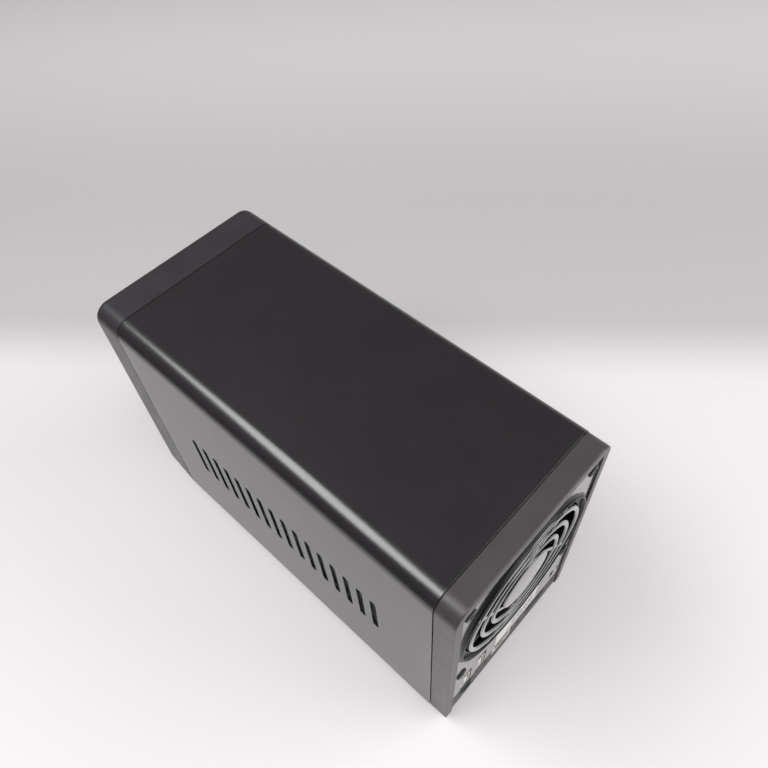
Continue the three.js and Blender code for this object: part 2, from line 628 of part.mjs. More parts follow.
// A flat blade that widens outwards, set at its pitch and turned to its place round the hub.
function fanBlade(index) {
  const outline = polygon([
    [-BLADE_HALF_CHORD, BLADE_ROOT], [BLADE_HALF_CHORD, BLADE_ROOT],
    [BLADE_HALF_CHORD * 1.5, BLADE_TIP + 2], [-BLADE_HALF_CHORD * 1.1, BLADE_TIP + 2],
  ]);
  const blade = new THREE.ExtrudeGeometry(outline, { depth: BLADE_THICKNESS, bevelEnabled: false });
  blade.translate(0, 0, -BLADE_THICKNESS / 2);
  blade.rotateX(Math.PI / 2);
  blade.rotateZ(BLADE_PITCH);
  blade.rotateY((index * Math.PI * 2) / BLADES);
  blade.translate(0, (HUB_FRONT + HUB_REAR) / 2, FAN_CENTRE_Z);
  return solid(blade);
}

function fanRotor() {
  const hub = turnedY([
    [0, HUB_FRONT], [HUB_RADIUS - HUB_ROUNDING, HUB_FRONT], [HUB_RADIUS, HUB_FRONT + HUB_ROUNDING],
    [HUB_RADIUS, HUB_REAR], [0, HUB_REAR],
  ], 0, FAN_CENTRE_Z, 42);
  const blades = [];
  for (let i = 0; i < BLADES; i += 1) {
    blades.push(fanBlade(i));
  }
  const room = cylinderY(BLADE_TIP, HUB_FRONT, HUB_REAR - 0.6, 0, FAN_CENTRE_Z, FINE);
  return hub.add(joined(blades).intersect(room));
}

const SCREW_HEAD_RADIUS = 3.3;
const SCREW_HEAD_HEIGHT = 0.9;
const SCREW_EDGE = 0.4;
const SCREW_SHANK_RADIUS = 1.7;
const SCREW_REACH = 9;
const SCREW_SLOT_WIDTH = 0.8;
const SCREW_SLOT_LENGTH = 3;

function fanScrew(x, z) {
  const edge = PANEL_REAR + SCREW_EDGE;
  const crown = PANEL_REAR + SCREW_HEAD_HEIGHT;
  const head = turnedY([
    [0, PANEL_REAR], [SCREW_HEAD_RADIUS, PANEL_REAR], [SCREW_HEAD_RADIUS, edge],
    [SCREW_HEAD_RADIUS - 0.8, crown], [0, crown],
  ], x, z, COARSE);
  const shank = cylinderY(SCREW_SHANK_RADIUS, FAN_REAR - SCREW_REACH, PANEL_REAR + 0.2, x, z, 12);
  const across = centredBox(x, SCREW_SLOT_LENGTH, edge, REAR, z - SCREW_SLOT_WIDTH / 2,
    z + SCREW_SLOT_WIDTH / 2);
  const upright = centredBox(x, SCREW_SLOT_WIDTH, edge, REAR, z - SCREW_SLOT_LENGTH / 2,
    z + SCREW_SLOT_LENGTH / 2);
  return cut(head.add(shank), [across, upright]);
}

// ---- boards and sockets -------------------------------------------------------------------------------
const BOARD_REAR = 111;
const BOARD_FRONT = -62;
const BOARD_HALF = 46.5;
const SUNK = 0.2; // how far one piece of a joined body sinks into the next
const EDGE_SOCKET = { left: -20, right: 14, height: 5, wall: 1.5, floor: 1.2, front: 3, rear: 4.6 };
const CHIP_HEIGHT = 1.6;
const CHIPS = [[-8, 20, 14], [22, 34, 12], [-30, 70, 11], [-28, 88, 9]]; // x, y and side
const RISER_BOTTOM = USB_SHELL_BOTTOM - BOARD_THICKNESS;
const RISER_SOCKET = { left: 22, right: 44, front: 70, rear: 75 };
const SWITCH_SIZE = 6;
const SWITCH_REAR = BOARD_REAR - 5;
const SWITCH_HEIGHT = 8;

function mainBoard() {
  const low = BOARD_TOP - SUNK;
  const plate = box(-BOARD_HALF, BOARD_HALF, BOARD_FRONT, BOARD_REAR, BOARD_BOTTOM, BOARD_TOP);
  const socket = box(EDGE_SOCKET.left, EDGE_SOCKET.right, BACKPLANE_FRONT - EDGE_SOCKET.front,
    BACKPLANE_FRONT + EDGE_SOCKET.rear, BOARD_TOP, BOARD_TOP + EDGE_SOCKET.height);
  const groove = box(EDGE_SOCKET.left + EDGE_SOCKET.wall, EDGE_SOCKET.right - EDGE_SOCKET.wall,
    BACKPLANE_FRONT - FIT_GAP, BACKPLANE_FRONT + BOARD_THICKNESS + FIT_GAP,
    BOARD_TOP + EDGE_SOCKET.floor, BOARD_TOP + EDGE_SOCKET.height + OVERCUT);
  const chips = CHIPS.map(([x, y, side]) => centredBox(x, side, y - side / 2, y + side / 2, low,
    BOARD_TOP + CHIP_HEIGHT));
  const riserSocket = box(RISER_SOCKET.left, RISER_SOCKET.right, RISER_SOCKET.front, RISER_SOCKET.rear,
    low, RISER_BOTTOM - FIT_GAP);
  const switchBody = centredBox(RESET_X, SWITCH_SIZE, SWITCH_REAR - SWITCH_SIZE, SWITCH_REAR,
    low, BOARD_TOP + SWITCH_HEIGHT);
  return joined([plate, ...chips, riserSocket, switchBody]).add(socket).subtract(groove);
}

const RISER_LEFT = 18;
const RISER_RIGHT = 44.5;
const RISER_FRONT = 66;

function usbRiserBoard() {
  return box(RISER_LEFT, RISER_RIGHT, RISER_FRONT, BOARD_REAR, RISER_BOTTOM, USB_SHELL_BOTTOM);
}

const SHELL_SIDE_WALL = 0.6;
const SHELL_END_WALL = 0.8;
const SHELL_LENGTH = 16;
const SHELL_MOUTH_DEPTH = 13;
const SHELL_REAR = PANEL_REAR - 0.2;

// A metal tube with a closed back, standing on the riser with its mouth to the rear.
function rearUsbShell(x) {
  const z0 = USB_SHELL_BOTTOM;
  const z1 = USB_SHELL_BOTTOM + USB_SHELL_HEIGHT;
  const shell = centredBox(x, USB_SHELL_WIDTH, SHELL_REAR - SHELL_LENGTH, SHELL_REAR, z0, z1);
  const mouth = centredBox(x, USB_SHELL_WIDTH - 2 * SHELL_SIDE_WALL, SHELL_REAR - SHELL_MOUTH_DEPTH,
    SHELL_REAR + OVERCUT, z0 + SHELL_END_WALL, z1 - SHELL_END_WALL);
  return shell.subtract(mouth);
}

const TONGUE_BASE = 2.2; // the block at the back of the mouth that carries the tongue
const TONGUE_WIDTH = 2.2;
const TONGUE_OFFSET = 0.6;
const TONGUE_HALF_HEIGHT = 5.6;
const TONGUE_SHORT = 0.5; // how far the tongue ends inside the shell's mouth

function rearUsbTongue(x) {
  const y0 = SHELL_REAR - SHELL_MOUTH_DEPTH;
  const middle = USB_SHELL_BOTTOM + USB_SHELL_HEIGHT / 2;
  const baseHalf = TONGUE_HALF_HEIGHT + 0.4;
  const base = centredBox(x, USB_SHELL_WIDTH - 2 * SHELL_SIDE_WALL, y0, y0 + TONGUE_BASE,
    middle - baseHalf, middle + baseHalf);
  const tongue = centredBox(x - TONGUE_OFFSET, TONGUE_WIDTH, y0 + 1, SHELL_REAR - TONGUE_SHORT,
    middle - TONGUE_HALF_HEIGHT, middle + TONGUE_HALF_HEIGHT);
  return base.add(tongue);
}

const LAN_REAR = PANEL_REAR - 0.1;
const LAN_LENGTH = 21;
const LAN_MOUTH = { width: 12, depth: 13, below: 3.6, above: 1.6 };
const LAN_KEYWAY = { width: 6.4, bottom: 1.4, top: 4 };

// The part below the mouth is cut short of the panel, and only the part inside the panel's window passes it.
function lanJack() {
  const base = centredBox(LAN_X, LAN_WIDTH, LAN_REAR - LAN_LENGTH, BOARD_REAR, BOARD_TOP, LAN_BOTTOM + 1);
  const body = base.add(centredBox(LAN_X, LAN_WIDTH, LAN_REAR - LAN_LENGTH, LAN_REAR, LAN_BOTTOM, LAN_TOP));
  const inner = LAN_REAR - LAN_MOUTH.depth;
  const mouth = centredBox(LAN_X, LAN_MOUTH.width, inner, LAN_REAR + OVERCUT,
    LAN_BOTTOM + LAN_MOUTH.below, LAN_TOP - LAN_MOUTH.above);
  const keyway = centredBox(LAN_X, LAN_KEYWAY.width, inner, LAN_REAR + OVERCUT,
    LAN_BOTTOM + LAN_KEYWAY.bottom, LAN_BOTTOM + LAN_KEYWAY.top);
  return cut(body, [mouth, keyway]);
}

const ESATA_LENGTH = 15;
const ESATA_MOUTH_DEPTH = 9;
const ESATA_WALL = 1.2;
const ESATA_TONGUE_HALF = 0.9;

function esataPort() {
  const y1 = SHELL_REAR;
  const z0 = ESATA_Z - ESATA_HEIGHT / 2;
  const z1 = ESATA_Z + ESATA_HEIGHT / 2;
  const base = centredBox(ESATA_X, ESATA_WIDTH, y1 - ESATA_LENGTH, BOARD_REAR, BOARD_TOP, z0 + 1);
  const body = base.add(centredBox(ESATA_X, ESATA_WIDTH, y1 - ESATA_LENGTH, y1, z0, z1));
  const mouth = centredBox(ESATA_X, ESATA_WIDTH - 2 * ESATA_WALL, y1 - ESATA_MOUTH_DEPTH, y1 + OVERCUT,
    z0 + ESATA_WALL, z1 - ESATA_WALL);
  const tongue = centredBox(ESATA_X, ESATA_WIDTH - 4 * ESATA_WALL, y1 - ESATA_MOUTH_DEPTH - 1, y1 - 1,
    ESATA_Z - ESATA_TONGUE_HALF, ESATA_Z + ESATA_TONGUE_HALF);
  return body.subtract(mouth).add(tongue);
}

const INLET_BODY = { width: 11.4, length: 17, above: 5.6 };
const INLET_BORE_RADIUS = 3.7;
const INLET_BORE_DEPTH = 11;
const INLET_PIN_RADIUS = 1.2;

function powerInlet() {
  const y1 = PANEL_REAR + 0.3;
  const inner = y1 - INLET_BORE_DEPTH;
  const body = centredBox(INLET_X, INLET_BODY.width, y1 - INLET_BODY.length, PANEL_FRONT, BOARD_TOP,
    INLET_Z + INLET_BODY.above);
  const nose = cylinderY(INLET_RADIUS, PANEL_FRONT - 0.5, y1, INLET_X, INLET_Z, FINE);
  const bore = cylinderY(INLET_BORE_RADIUS, inner, y1 + OVERCUT, INLET_X, INLET_Z, 24);
  const pin = cylinderY(INLET_PIN_RADIUS, inner - 1, y1 - INLET_PIN_RADIUS, INLET_X, INLET_Z, 12);
  return body.add(nose).subtract(bore).add(pin);
}

const PLUNGER_RADIUS = 1.1;
const PLUNGER_FRONT = BOARD_REAR - 3;
const PLUNGER_COLLAR_RADIUS = 1.9;

function resetButton() {
  const plunger = cylinderY(PLUNGER_RADIUS, PLUNGER_FRONT, PANEL_REAR - 0.5, RESET_X, RESET_Z, 12);
  const collar = cylinderY(PLUNGER_COLLAR_RADIUS, PLUNGER_FRONT - 0.4, PLUNGER_FRONT + 0.8,
    RESET_X, RESET_Z, 12);
  return plunger.add(collar);
}

const SINK = { left: -24, right: 8, front: 5, rear: 35, base: 4.2, top: 13 };
const SINK_FINS = 9;
const SINK_FIN_THICKNESS = 1.2;
const SINK_FIN_PITCH = 3.7;

function heatSink() {
  const baseTop = BOARD_TOP + SINK.base;
  const pieces = [box(SINK.left, SINK.right, SINK.front, SINK.rear, BOARD_TOP + CHIP_HEIGHT, baseTop)];
  for (let i = 0; i < SINK_FINS; i += 1) {
    const x = SINK.left + SINK_FIN_THICKNESS / 2 + i * SINK_FIN_PITCH;
    pieces.push(box(x, x + SINK_FIN_THICKNESS, SINK.front, SINK.rear, baseTop - SUNK, BOARD_TOP + SINK.top));
  }
  return joined(pieces);
}

const MEMORY = { left: -38, right: 28, front: -42, rear: -12, low: 3, thickness: 1.1 };
const MEMORY_SOCKET = { front: -15.5, rear: -10, height: 5 };
const MEMORY_CHIPS = 4;
const MEMORY_CHIP = { first: -34, pitch: 16, width: 11, front: -38, rear: -24 };

function memoryModule() {
  const low = BOARD_TOP + MEMORY.low;
  const high = low + MEMORY.thickness;
  const card = box(MEMORY.left, MEMORY.right, MEMORY.front, MEMORY.rear, low, high);
  const socket = box(MEMORY.left - 0.5, MEMORY.right + 0.5, MEMORY_SOCKET.front, MEMORY_SOCKET.rear,
    BOARD_TOP, BOARD_TOP + MEMORY_SOCKET.height);
  const pieces = [card, socket];
  for (let i = 0; i < MEMORY_CHIPS; i += 1) {
    const x = MEMORY_CHIP.first + i * MEMORY_CHIP.pitch;
    pieces.push(box(x, x + MEMORY_CHIP.width, MEMORY_CHIP.front, MEMORY_CHIP.rear, high - SUNK, high + 1));
  }
  return joined(pieces);
}

const CELL_X = 31;
const CELL_Y = 4;
const CELL_RADIUS = 10;
const CELL_TOP = 4.4;
const HOLDER_HEIGHT = 2;

function coinCell() {
  const holderTop = BOARD_TOP + HOLDER_HEIGHT;
  const holder = cylinderZ(CELL_RADIUS + 1, BOARD_TOP, holderTop, CELL_X, CELL_Y, 28);
  const cell = cylinderZ(CELL_RADIUS, holderTop - SUNK, BOARD_TOP + CELL_TOP, CELL_X, CELL_Y, 28);
  return holder.add(cell);
}

const BACKPLANE = { left: -46, right: 17.5, bottom: 30, top: 141 };
const BACKPLANE_TAB = { left: -18, right: 12, bottom: 1.4 };
const BACKPLANE_WINDOW = { half: 9, bottom: 84, top: 132, radius: 4 };

function backplaneBoard() {
  const y0 = BACKPLANE_FRONT;
  const y1 = BACKPLANE_FRONT + BOARD_THICKNESS;
  const board = box(BACKPLANE.left, BACKPLANE.right, y0, y1, BACKPLANE.bottom, BACKPLANE.top);
  const tab = box(BACKPLANE_TAB.left, BACKPLANE_TAB.right, y0, y1, BOARD_TOP + BACKPLANE_TAB.bottom,
    BACKPLANE.bottom + OVERCUT);
  const windows = TRAY_CENTRES.map((x) => {
    const outline = roundedRectangle(x - BACKPLANE_WINDOW.half, x + BACKPLANE_WINDOW.half,
      BACKPLANE_WINDOW.bottom, BACKPLANE_WINDOW.top, BACKPLANE_WINDOW.radius);
    return extrudedY(outline, y0 - OVERCUT, y1 + OVERCUT, 2);
  });
  return cut(board.add(tab), windows);
}

const CONNECTOR = { width: 7.6, bottom: 38, top: 78, slotWidth: 3.2, slotDepth: 2.4, wall: 2 };

function sataConnector(x) {
  const y0 = DRIVE_FRONT + DRIVE_LENGTH + 2 * FIT_GAP;
  const body = centredBox(x, CONNECTOR.width, y0, BACKPLANE_FRONT, CONNECTOR.bottom, CONNECTOR.top);
  const slot = centredBox(x, CONNECTOR.slotWidth, y0 - OVERCUT, y0 + CONNECTOR.slotDepth,
    CONNECTOR.bottom + CONNECTOR.wall, CONNECTOR.top - CONNECTOR.wall);
  return body.subtract(slot);
}

// ---- drive cage ---------------------------------------------------------------------------------------
const CAGE_OUTER = 48.9;
const CAGE_SHEET = 0.8;
const CAGE_FRONT = -91;
const CAGE_REAR = 70;
const CAGE_FLOOR = 32.9;
const CAGE_CEILING = 143.1;
const CAGE_RIGHT = 20;
const CAGE_MIDDLE = -14.4;
const CAGE_SLOTS = 9;
const CAGE_SLOT_FIRST_Y = -74;
const CAGE_SLOT_PITCH = 16;
const CAGE_SLOT_WIDTH = 5;
const CAGE_SLOT_BOTTOM = 56;
const CAGE_SLOT_TOP = 120;

// Upright air slots through one of the cage's walls.
function cageSlots() {
  const slots = [];
  for (let i = 0; i < CAGE_SLOTS; i += 1) {
    const y = CAGE_SLOT_FIRST_Y + i * CAGE_SLOT_PITCH;
    slots.push(box(-WIDTH, WIDTH, y, y + CAGE_SLOT_WIDTH, CAGE_SLOT_BOTTOM, CAGE_SLOT_TOP));
  }
  return slots;
}

// One of the cage's upright walls, from its left face at x.
function cageWall(x, bottom, top) {
  return cut(box(x, x + CAGE_SHEET, CAGE_FRONT, CAGE_REAR, bottom, top), cageSlots());
}

function cageFloor() {
  return box(-CAGE_OUTER + CAGE_SHEET, CAGE_OUTER - CAGE_SHEET, CAGE_FRONT, CAGE_REAR,
    CAGE_FLOOR - CAGE_SHEET, CAGE_FLOOR);
}

function cageCeiling() {
  return box(-CAGE_OUTER, CAGE_RIGHT + CAGE_SHEET, CAGE_FRONT, CAGE_REAR,
    CAGE_CEILING, CAGE_CEILING + CAGE_SHEET);
}

function cageRightLeg() {
  return box(CAGE_OUTER - CAGE_SHEET, CAGE_OUTER, CAGE_FRONT, CAGE_REAR, PAN_TOP, CAGE_FLOOR);
}

// ---- drive trays --------------------------------------------------------------------------------------
const HANDLE_WIDTH = 18.6;
const HANDLE_HALF_THICKNESS = 3.1;
const HANDLE_Y = FRONT + 4.4;
const HANDLE_PIVOT_Z = 143.5;
const HANDLE_BOTTOM = 50;
const HANDLE_WALL = 2;
const HANDLE_HOLLOW_ABOVE = 6;
const HANDLE_HOLLOW_BELOW = 7;
const HANDLE_SCOOP_RADIUS = 5;
const PIN_RADIUS = 1.2;
const RECESS_WIDTH = 19.6;
const RECESS_BOTTOM = 36;
const RECESS_TOP = 147.3;
const RECESS_BACK = FRONT + 11.5;
const RECESS_SKIN = 1.5; // what is left behind the recess
const HOLLOW_BEHIND = { bottom: 40, top: 145 };
const SIDE_HOLLOW = { x: 13.15, width: 3.6, skin: 2.4, bottom: 27, top: 148.4 };
const TRAY_GRILLE = { count: 11, first: 56, pitch: 7.4, height: 3, width: 14 };
const TRAY_LOCK_Z = 30.4;
const TRAY_LOCK_RADIUS = 3.2;

function trayFace(x) {
  const block = centredBox(x, TRAY_FACE_WIDTH, TRAY_FACE_FRONT, TRAY_FACE_REAR,
    TRAY_FACE_BOTTOM, TRAY_FACE_TOP);
  const recess = centredBox(x, RECESS_WIDTH, FRONT, RECESS_BACK, RECESS_BOTTOM, RECESS_TOP);
  const behind = centredBox(x, RECESS_WIDTH, RECESS_BACK + RECESS_SKIN, TRAY_FACE_REAR + OVERCUT,
    HOLLOW_BEHIND.bottom, HOLLOW_BEHIND.top);
  const sides = [-1, 1].map((side) => centredBox(x + side * SIDE_HOLLOW.x, SIDE_HOLLOW.width,
    TRAY_FACE_FRONT + SIDE_HOLLOW.skin, TRAY_FACE_REAR + OVERCUT, SIDE_HOLLOW.bottom, SIDE_HOLLOW.top));
  const lockHole = cylinderY(TRAY_LOCK_RADIUS + FIT_GAP, FRONT, TRAY_FACE_REAR - 2, x, TRAY_LOCK_Z, 24);
  const pinReach = RECESS_WIDTH / 2 + 1.2;
  const pinHole = cylinderX(PIN_RADIUS + FIT_GAP, x - pinReach, x + pinReach, HANDLE_Y, HANDLE_PIVOT_Z, 16);
  const grille = [];
  for (let i = 0; i < TRAY_GRILLE.count; i += 1) {
    const z = TRAY_GRILLE.first + i * TRAY_GRILLE.pitch;
    grille.push(centredBox(x, TRAY_GRILLE.width, RECESS_BACK - OVERCUT, RECESS_BACK + RECESS_SKIN + OVERCUT,
      z, z + TRAY_GRILLE.height));
  }
  return cut(block, [recess, behind, ...sides, lockHole, pinHole, ...grille]);
}

// A bar that fills the upper recess, rounded about its pivot, with a hooked finger grip at its lower end.
function trayHandle(x) {
  const y0 = HANDLE_Y - HANDLE_HALF_THICKNESS;
  const y1 = HANDLE_Y + HANDLE_HALF_THICKNESS;
  const half = HANDLE_WIDTH / 2;
  const bar = centredBox(x, HANDLE_WIDTH, y0, y1, HANDLE_BOTTOM, HANDLE_PIVOT_Z);
  const end = cylinderX(HANDLE_HALF_THICKNESS, x - half, x + half, HANDLE_Y, HANDLE_PIVOT_Z, 24);
  const hollow = centredBox(x, HANDLE_WIDTH - 2 * HANDLE_WALL, y0 + HANDLE_WALL, y1 + OVERCUT,
    HANDLE_BOTTOM + HANDLE_HOLLOW_ABOVE, HANDLE_PIVOT_Z - HANDLE_HOLLOW_BELOW);
  const scoop = cylinderX(HANDLE_SCOOP_RADIUS, x - HANDLE_WIDTH, x + HANDLE_WIDTH, y1 + 2.6,
    HANDLE_BOTTOM + 1, 20);
  const pinReach = RECESS_WIDTH / 2 + 1;
  const pin = cylinderX(PIN_RADIUS, x - pinReach, x + pinReach, HANDLE_Y, HANDLE_PIVOT_Z, 16);
  return cut(bar.add(end), [hollow, scoop]).add(pin);
}

const LOCK_BARREL_FRONT = TRAY_FACE_FRONT - 0.6;
const LOCK_BARREL_REAR = TRAY_FACE_REAR - 6;
const LOCK_KEYWAY_WIDTH = 0.9;
const LOCK_KEYWAY_HALF = 2.2;

function trayLock(x) {
  const barrel = turnedY([
    [0, LOCK_BARREL_REAR], [TRAY_LOCK_RADIUS, LOCK_BARREL_REAR], [TRAY_LOCK_RADIUS, LOCK_BARREL_FRONT + 0.4],
    [TRAY_LOCK_RADIUS - 0.5, LOCK_BARREL_FRONT], [0, LOCK_BARREL_FRONT],
  ], x, TRAY_LOCK_Z, 24);
  const keyway = centredBox(x, LOCK_KEYWAY_WIDTH, FRONT, TRAY_FACE_FRONT + 1,
    TRAY_LOCK_Z - LOCK_KEYWAY_HALF, TRAY_LOCK_Z + LOCK_KEYWAY_HALF);
  return barrel.subtract(keyway);
}

const CADDY_RAIL = 3.7;
const CADDY_SIDE = 1.4;
const CADDY_PLATE = 2;
const CADDY_WINDOWS = { count: 3, first: -72, pitch: 46, length: 34, bottom: 54, top: 122, radius: 5 };
const CADDY_AIR = { width: 18, bottom: 52, top: 128 };

// An open channel round the drive: a side plate with upper and lower rails and a front cross plate.
function trayFrame(x) {
  const x0 = x - CADDY_WIDTH / 2;
  const x1 = x + CADDY_WIDTH / 2;
  const y0 = TRAY_FACE_REAR;
  const bottom = DRIVE_BOTTOM - FIT_GAP;
  const top = DRIVE_BOTTOM + DRIVE_HEIGHT + FIT_GAP;
  const side = box(x0, x0 + CADDY_SIDE, y0, CADDY_REAR, bottom - CADDY_RAIL, top + CADDY_RAIL);
  const lower = box(x0, x1, y0, CADDY_REAR, bottom - CADDY_RAIL, bottom);
  const upper = box(x0, x1, y0, CADDY_REAR, top, top + CADDY_RAIL);
  const front = box(x0, x1, y0, y0 + CADDY_PLATE, bottom - CADDY_RAIL, top + CADDY_RAIL);
  const windows = [];
  for (let i = 0; i < CADDY_WINDOWS.count; i += 1) {
    const y = CADDY_WINDOWS.first + i * CADDY_WINDOWS.pitch;
    const outline = roundedRectangle(y, y + CADDY_WINDOWS.length, CADDY_WINDOWS.bottom, CADDY_WINDOWS.top,
      CADDY_WINDOWS.radius);
    windows.push(extrudedX(outline, x0 - OVERCUT, x0 + CADDY_SIDE + OVERCUT, 2));
  }
  const airWindow = centredBox(x, CADDY_AIR.width, y0 - OVERCUT, y0 + CADDY_PLATE + OVERCUT,
    CADDY_AIR.bottom, CADDY_AIR.top);
  return cut(joined([side, lower, upper, front]), [...windows, airWindow]);
}

const DRIVE_OFFSET = 0.4; // the drive stands off the tray's side plate
const DRIVE_LID = { thickness: 1.5, front: 3, rear: 6, margin: 3, radius: 5 };
const DRIVE_BOARD = { depth: 1.6, length: 60, rear: 2, margin: 12, gap: 1, below: 0.4 };

function hardDrive(x) {
  const x0 = x - DRIVE_THICKNESS / 2 + DRIVE_OFFSET;
  const x1 = x + DRIVE_THICKNESS / 2 + DRIVE_OFFSET;
  const y1 = DRIVE_FRONT + DRIVE_LENGTH;
  const top = DRIVE_BOTTOM + DRIVE_HEIGHT;
  const inner = x1 - DRIVE_BOARD.depth;
  const boardFront = y1 - DRIVE_BOARD.length;
  const body = box(x0 + 1, x1, DRIVE_FRONT, y1, DRIVE_BOTTOM, top);
  const lidOutline = roundedRectangle(DRIVE_FRONT + DRIVE_LID.front, y1 - DRIVE_LID.rear,
    DRIVE_BOTTOM + DRIVE_LID.margin, top - DRIVE_LID.margin, DRIVE_LID.radius);
  const lid = extrudedX(lidOutline, x0, x0 + DRIVE_LID.thickness, 3);
  const boardRoom = box(inner, x1 + OVERCUT, boardFront - DRIVE_BOARD.gap, y1 + OVERCUT,
    DRIVE_BOTTOM + DRIVE_BOARD.margin - DRIVE_BOARD.gap, top - DRIVE_BOARD.margin + DRIVE_BOARD.gap);
  const board = box(inner - SUNK, x1 - DRIVE_BOARD.below, boardFront, y1 - DRIVE_BOARD.rear,
    DRIVE_BOTTOM + DRIVE_BOARD.margin, top - DRIVE_BOARD.margin);
  return body.subtract(boardRoom).add(lid).add(board);
}

// ---- front column -------------------------------------------------------------------------------------
const FRONT_BOARD_Y = FRONT + 12;
const FRONT_BOARD = { left: 23.5, right: 47.5, bottom: 29, top: 147 };

function frontBoard() {
  return box(FRONT_BOARD.left, FRONT_BOARD.right, FRONT_BOARD_Y, FRONT_BOARD_Y + BOARD_THICKNESS,
    FRONT_BOARD.bottom, FRONT_BOARD.top);
}

function lightPipe(z) {
  return centredBox(COLUMN_X, LIGHT_WIDTH, FRONT + 0.1, FRONT_BOARD_Y - 0.6,
    z - LIGHT_HEIGHT / 2, z + LIGHT_HEIGHT / 2);
}

const FRONT_SHELL_WALL = 0.4;
const FRONT_TONGUE = { width: 11.2, bottom: 0.1, top: 2, short: 1 };

function frontUsbShell() {
  const z0 = FRONT_USB_Z - USB_HEIGHT / 2;
  const z1 = FRONT_USB_Z + USB_HEIGHT / 2;
  const shell = centredBox(COLUMN_X, USB_WIDTH, FRONT + 0.4, FRONT_BOARD_Y, z0, z1);
  const mouth = centredBox(COLUMN_X, USB_WIDTH - 2 * FRONT_SHELL_WALL, FRONT, FRONT_BOARD_Y - 1,
    z0 + FRONT_SHELL_WALL, z1 - FRONT_SHELL_WALL);
  return shell.subtract(mouth);
}

function frontUsbTongue() {
  return centredBox(COLUMN_X, FRONT_TONGUE.width, FRONT + 0.4 + FRONT_TONGUE.short, FRONT_BOARD_Y - 1,
    FRONT_USB_Z + FRONT_TONGUE.bottom, FRONT_USB_Z + FRONT_TONGUE.top);
}

const BUTTON_FLANGE_FRONT = FRONT + 3.4;
const BUTTON_FLANGE_REAR = FRONT + 4.6;
const BUTTON_REAR = FRONT + 9;
const BUTTON_FLANGE_MARGIN = 1.5;

function copyButton() {
  const halfWidth = COPY_BUTTON_WIDTH / 2;
  const halfHeight = COPY_BUTTON_HEIGHT / 2;
  const outline = roundedRectangle(COLUMN_X - halfWidth, COLUMN_X + halfWidth,
    COPY_BUTTON_Z - halfHeight, COPY_BUTTON_Z + halfHeight, COPY_CORNER_RADIUS - 0.2);
  const flange = centredBox(COLUMN_X, COPY_BUTTON_WIDTH + 2 * BUTTON_FLANGE_MARGIN,
    BUTTON_FLANGE_FRONT, BUTTON_FLANGE_REAR,
    COPY_BUTTON_Z - halfHeight - BUTTON_FLANGE_MARGIN, COPY_BUTTON_Z + halfHeight + BUTTON_FLANGE_MARGIN);
  return extrudedY(outline, FRONT + 0.1, BUTTON_REAR, 3).add(flange);
}

// A shallow dish with a rounded edge in front, and a flange that stops against the column's face.
function powerButton() {
  const flangeRadius = POWER_BUTTON_RADIUS + 1.4;
  return turnedY([
    [0, BUTTON_REAR], [0, FRONT + 0.5], [3.6, FRONT + 0.3], [5.3, FRONT + 0.1],
    [POWER_BUTTON_RADIUS, FRONT + 0.8], [POWER_BUTTON_RADIUS, BUTTON_FLANGE_FRONT],
    [flangeRadius, BUTTON_FLANGE_FRONT], [flangeRadius, BUTTON_FLANGE_REAR],
    [POWER_BUTTON_RADIUS, BUTTON_FLANGE_REAR], [3, BUTTON_REAR],
  ], COLUMN_X, POWER_BUTTON_Z, 32);
}

// ---- assembly -----------------------------------------------------------------------------------------
place("outer_sleeve", outerSleeve(), "powderCoat");
place("base_pan", basePan(), "blackSteel");
place("front_bezel", frontBezel(), "blackPlastic");
place("rear_frame", rearFrame(), "blackPlastic");
place("rear_panel", rearPanel(), "blackSteel");
place("rear_label", rearLabel(), "label");
place("cage_floor", cageFloor(), "zincSteel");
place("cage_ceiling", cageCeiling(), "zincSteel");
place("cage_left_wall", cageWall(-CAGE_OUTER, PAN_TOP, CAGE_CEILING), "zincSteel");
place("cage_middle_wall", cageWall(CAGE_MIDDLE, CAGE_FLOOR, CAGE_CEILING), "zincSteel");
place("cage_right_wall", cageWall(CAGE_RIGHT, CAGE_FLOOR, CAGE_CEILING), "zincSteel");
place("cage_right_leg", cageRightLeg(), "zincSteel");
FOOT_PLACES.forEach(([x, y], i) => place(`foot_${i + 1}`, foot(x, y), "rubber"));

place("fan_guard", fanGuard(), "glossPlastic");
place("fan_frame", fanFrame(), "blackPlastic");
place("fan_rotor", fanRotor(), "blackPlastic");
fanScrewPlaces().forEach(([x, z], i) => place(`fan_screw_${i + 1}`, fanScrew(x, z), "blackSteel"));

place("main_board", mainBoard(), "boardGreen");
place("heat_sink", heatSink(), "castAluminium");
place("memory_module", memoryModule(), "boardGreen");
place("coin_cell", coinCell(), "nickel");
place("usb_riser_board", usbRiserBoard(), "boardGreen");
place("backplane_board", backplaneBoard(), "boardGreen");
TRAY_CENTRES.forEach((x, i) => place(`sata_connector_${i + 1}`, sataConnector(x), "blackPlastic"));
USB_CENTRES.forEach((x, i) => {
  place(`rear_usb_shell_${i + 1}`, rearUsbShell(x), "nickel");
  place(`rear_usb_tongue_${i + 1}`, rearUsbTongue(x), "whitePlastic");
});
place("lan_jack", lanJack(), "nickel");
place("esata_port", esataPort(), "blackPlastic");
place("power_inlet", powerInlet(), "blackPlastic");
place("reset_button", resetButton(), "blackPlastic");

place("front_board", frontBoard(), "boardGreen");
LIGHT_HEIGHTS.forEach((z, i) => place(LIGHT_NAMES[i], lightPipe(z), "clearPlastic"));
place("front_usb_shell", frontUsbShell(), "nickel");
place("front_usb_tongue", frontUsbTongue(), "whitePlastic");
place("copy_button", copyButton(), "blackPlastic");
place("power_button", powerButton(), "blackPlastic");

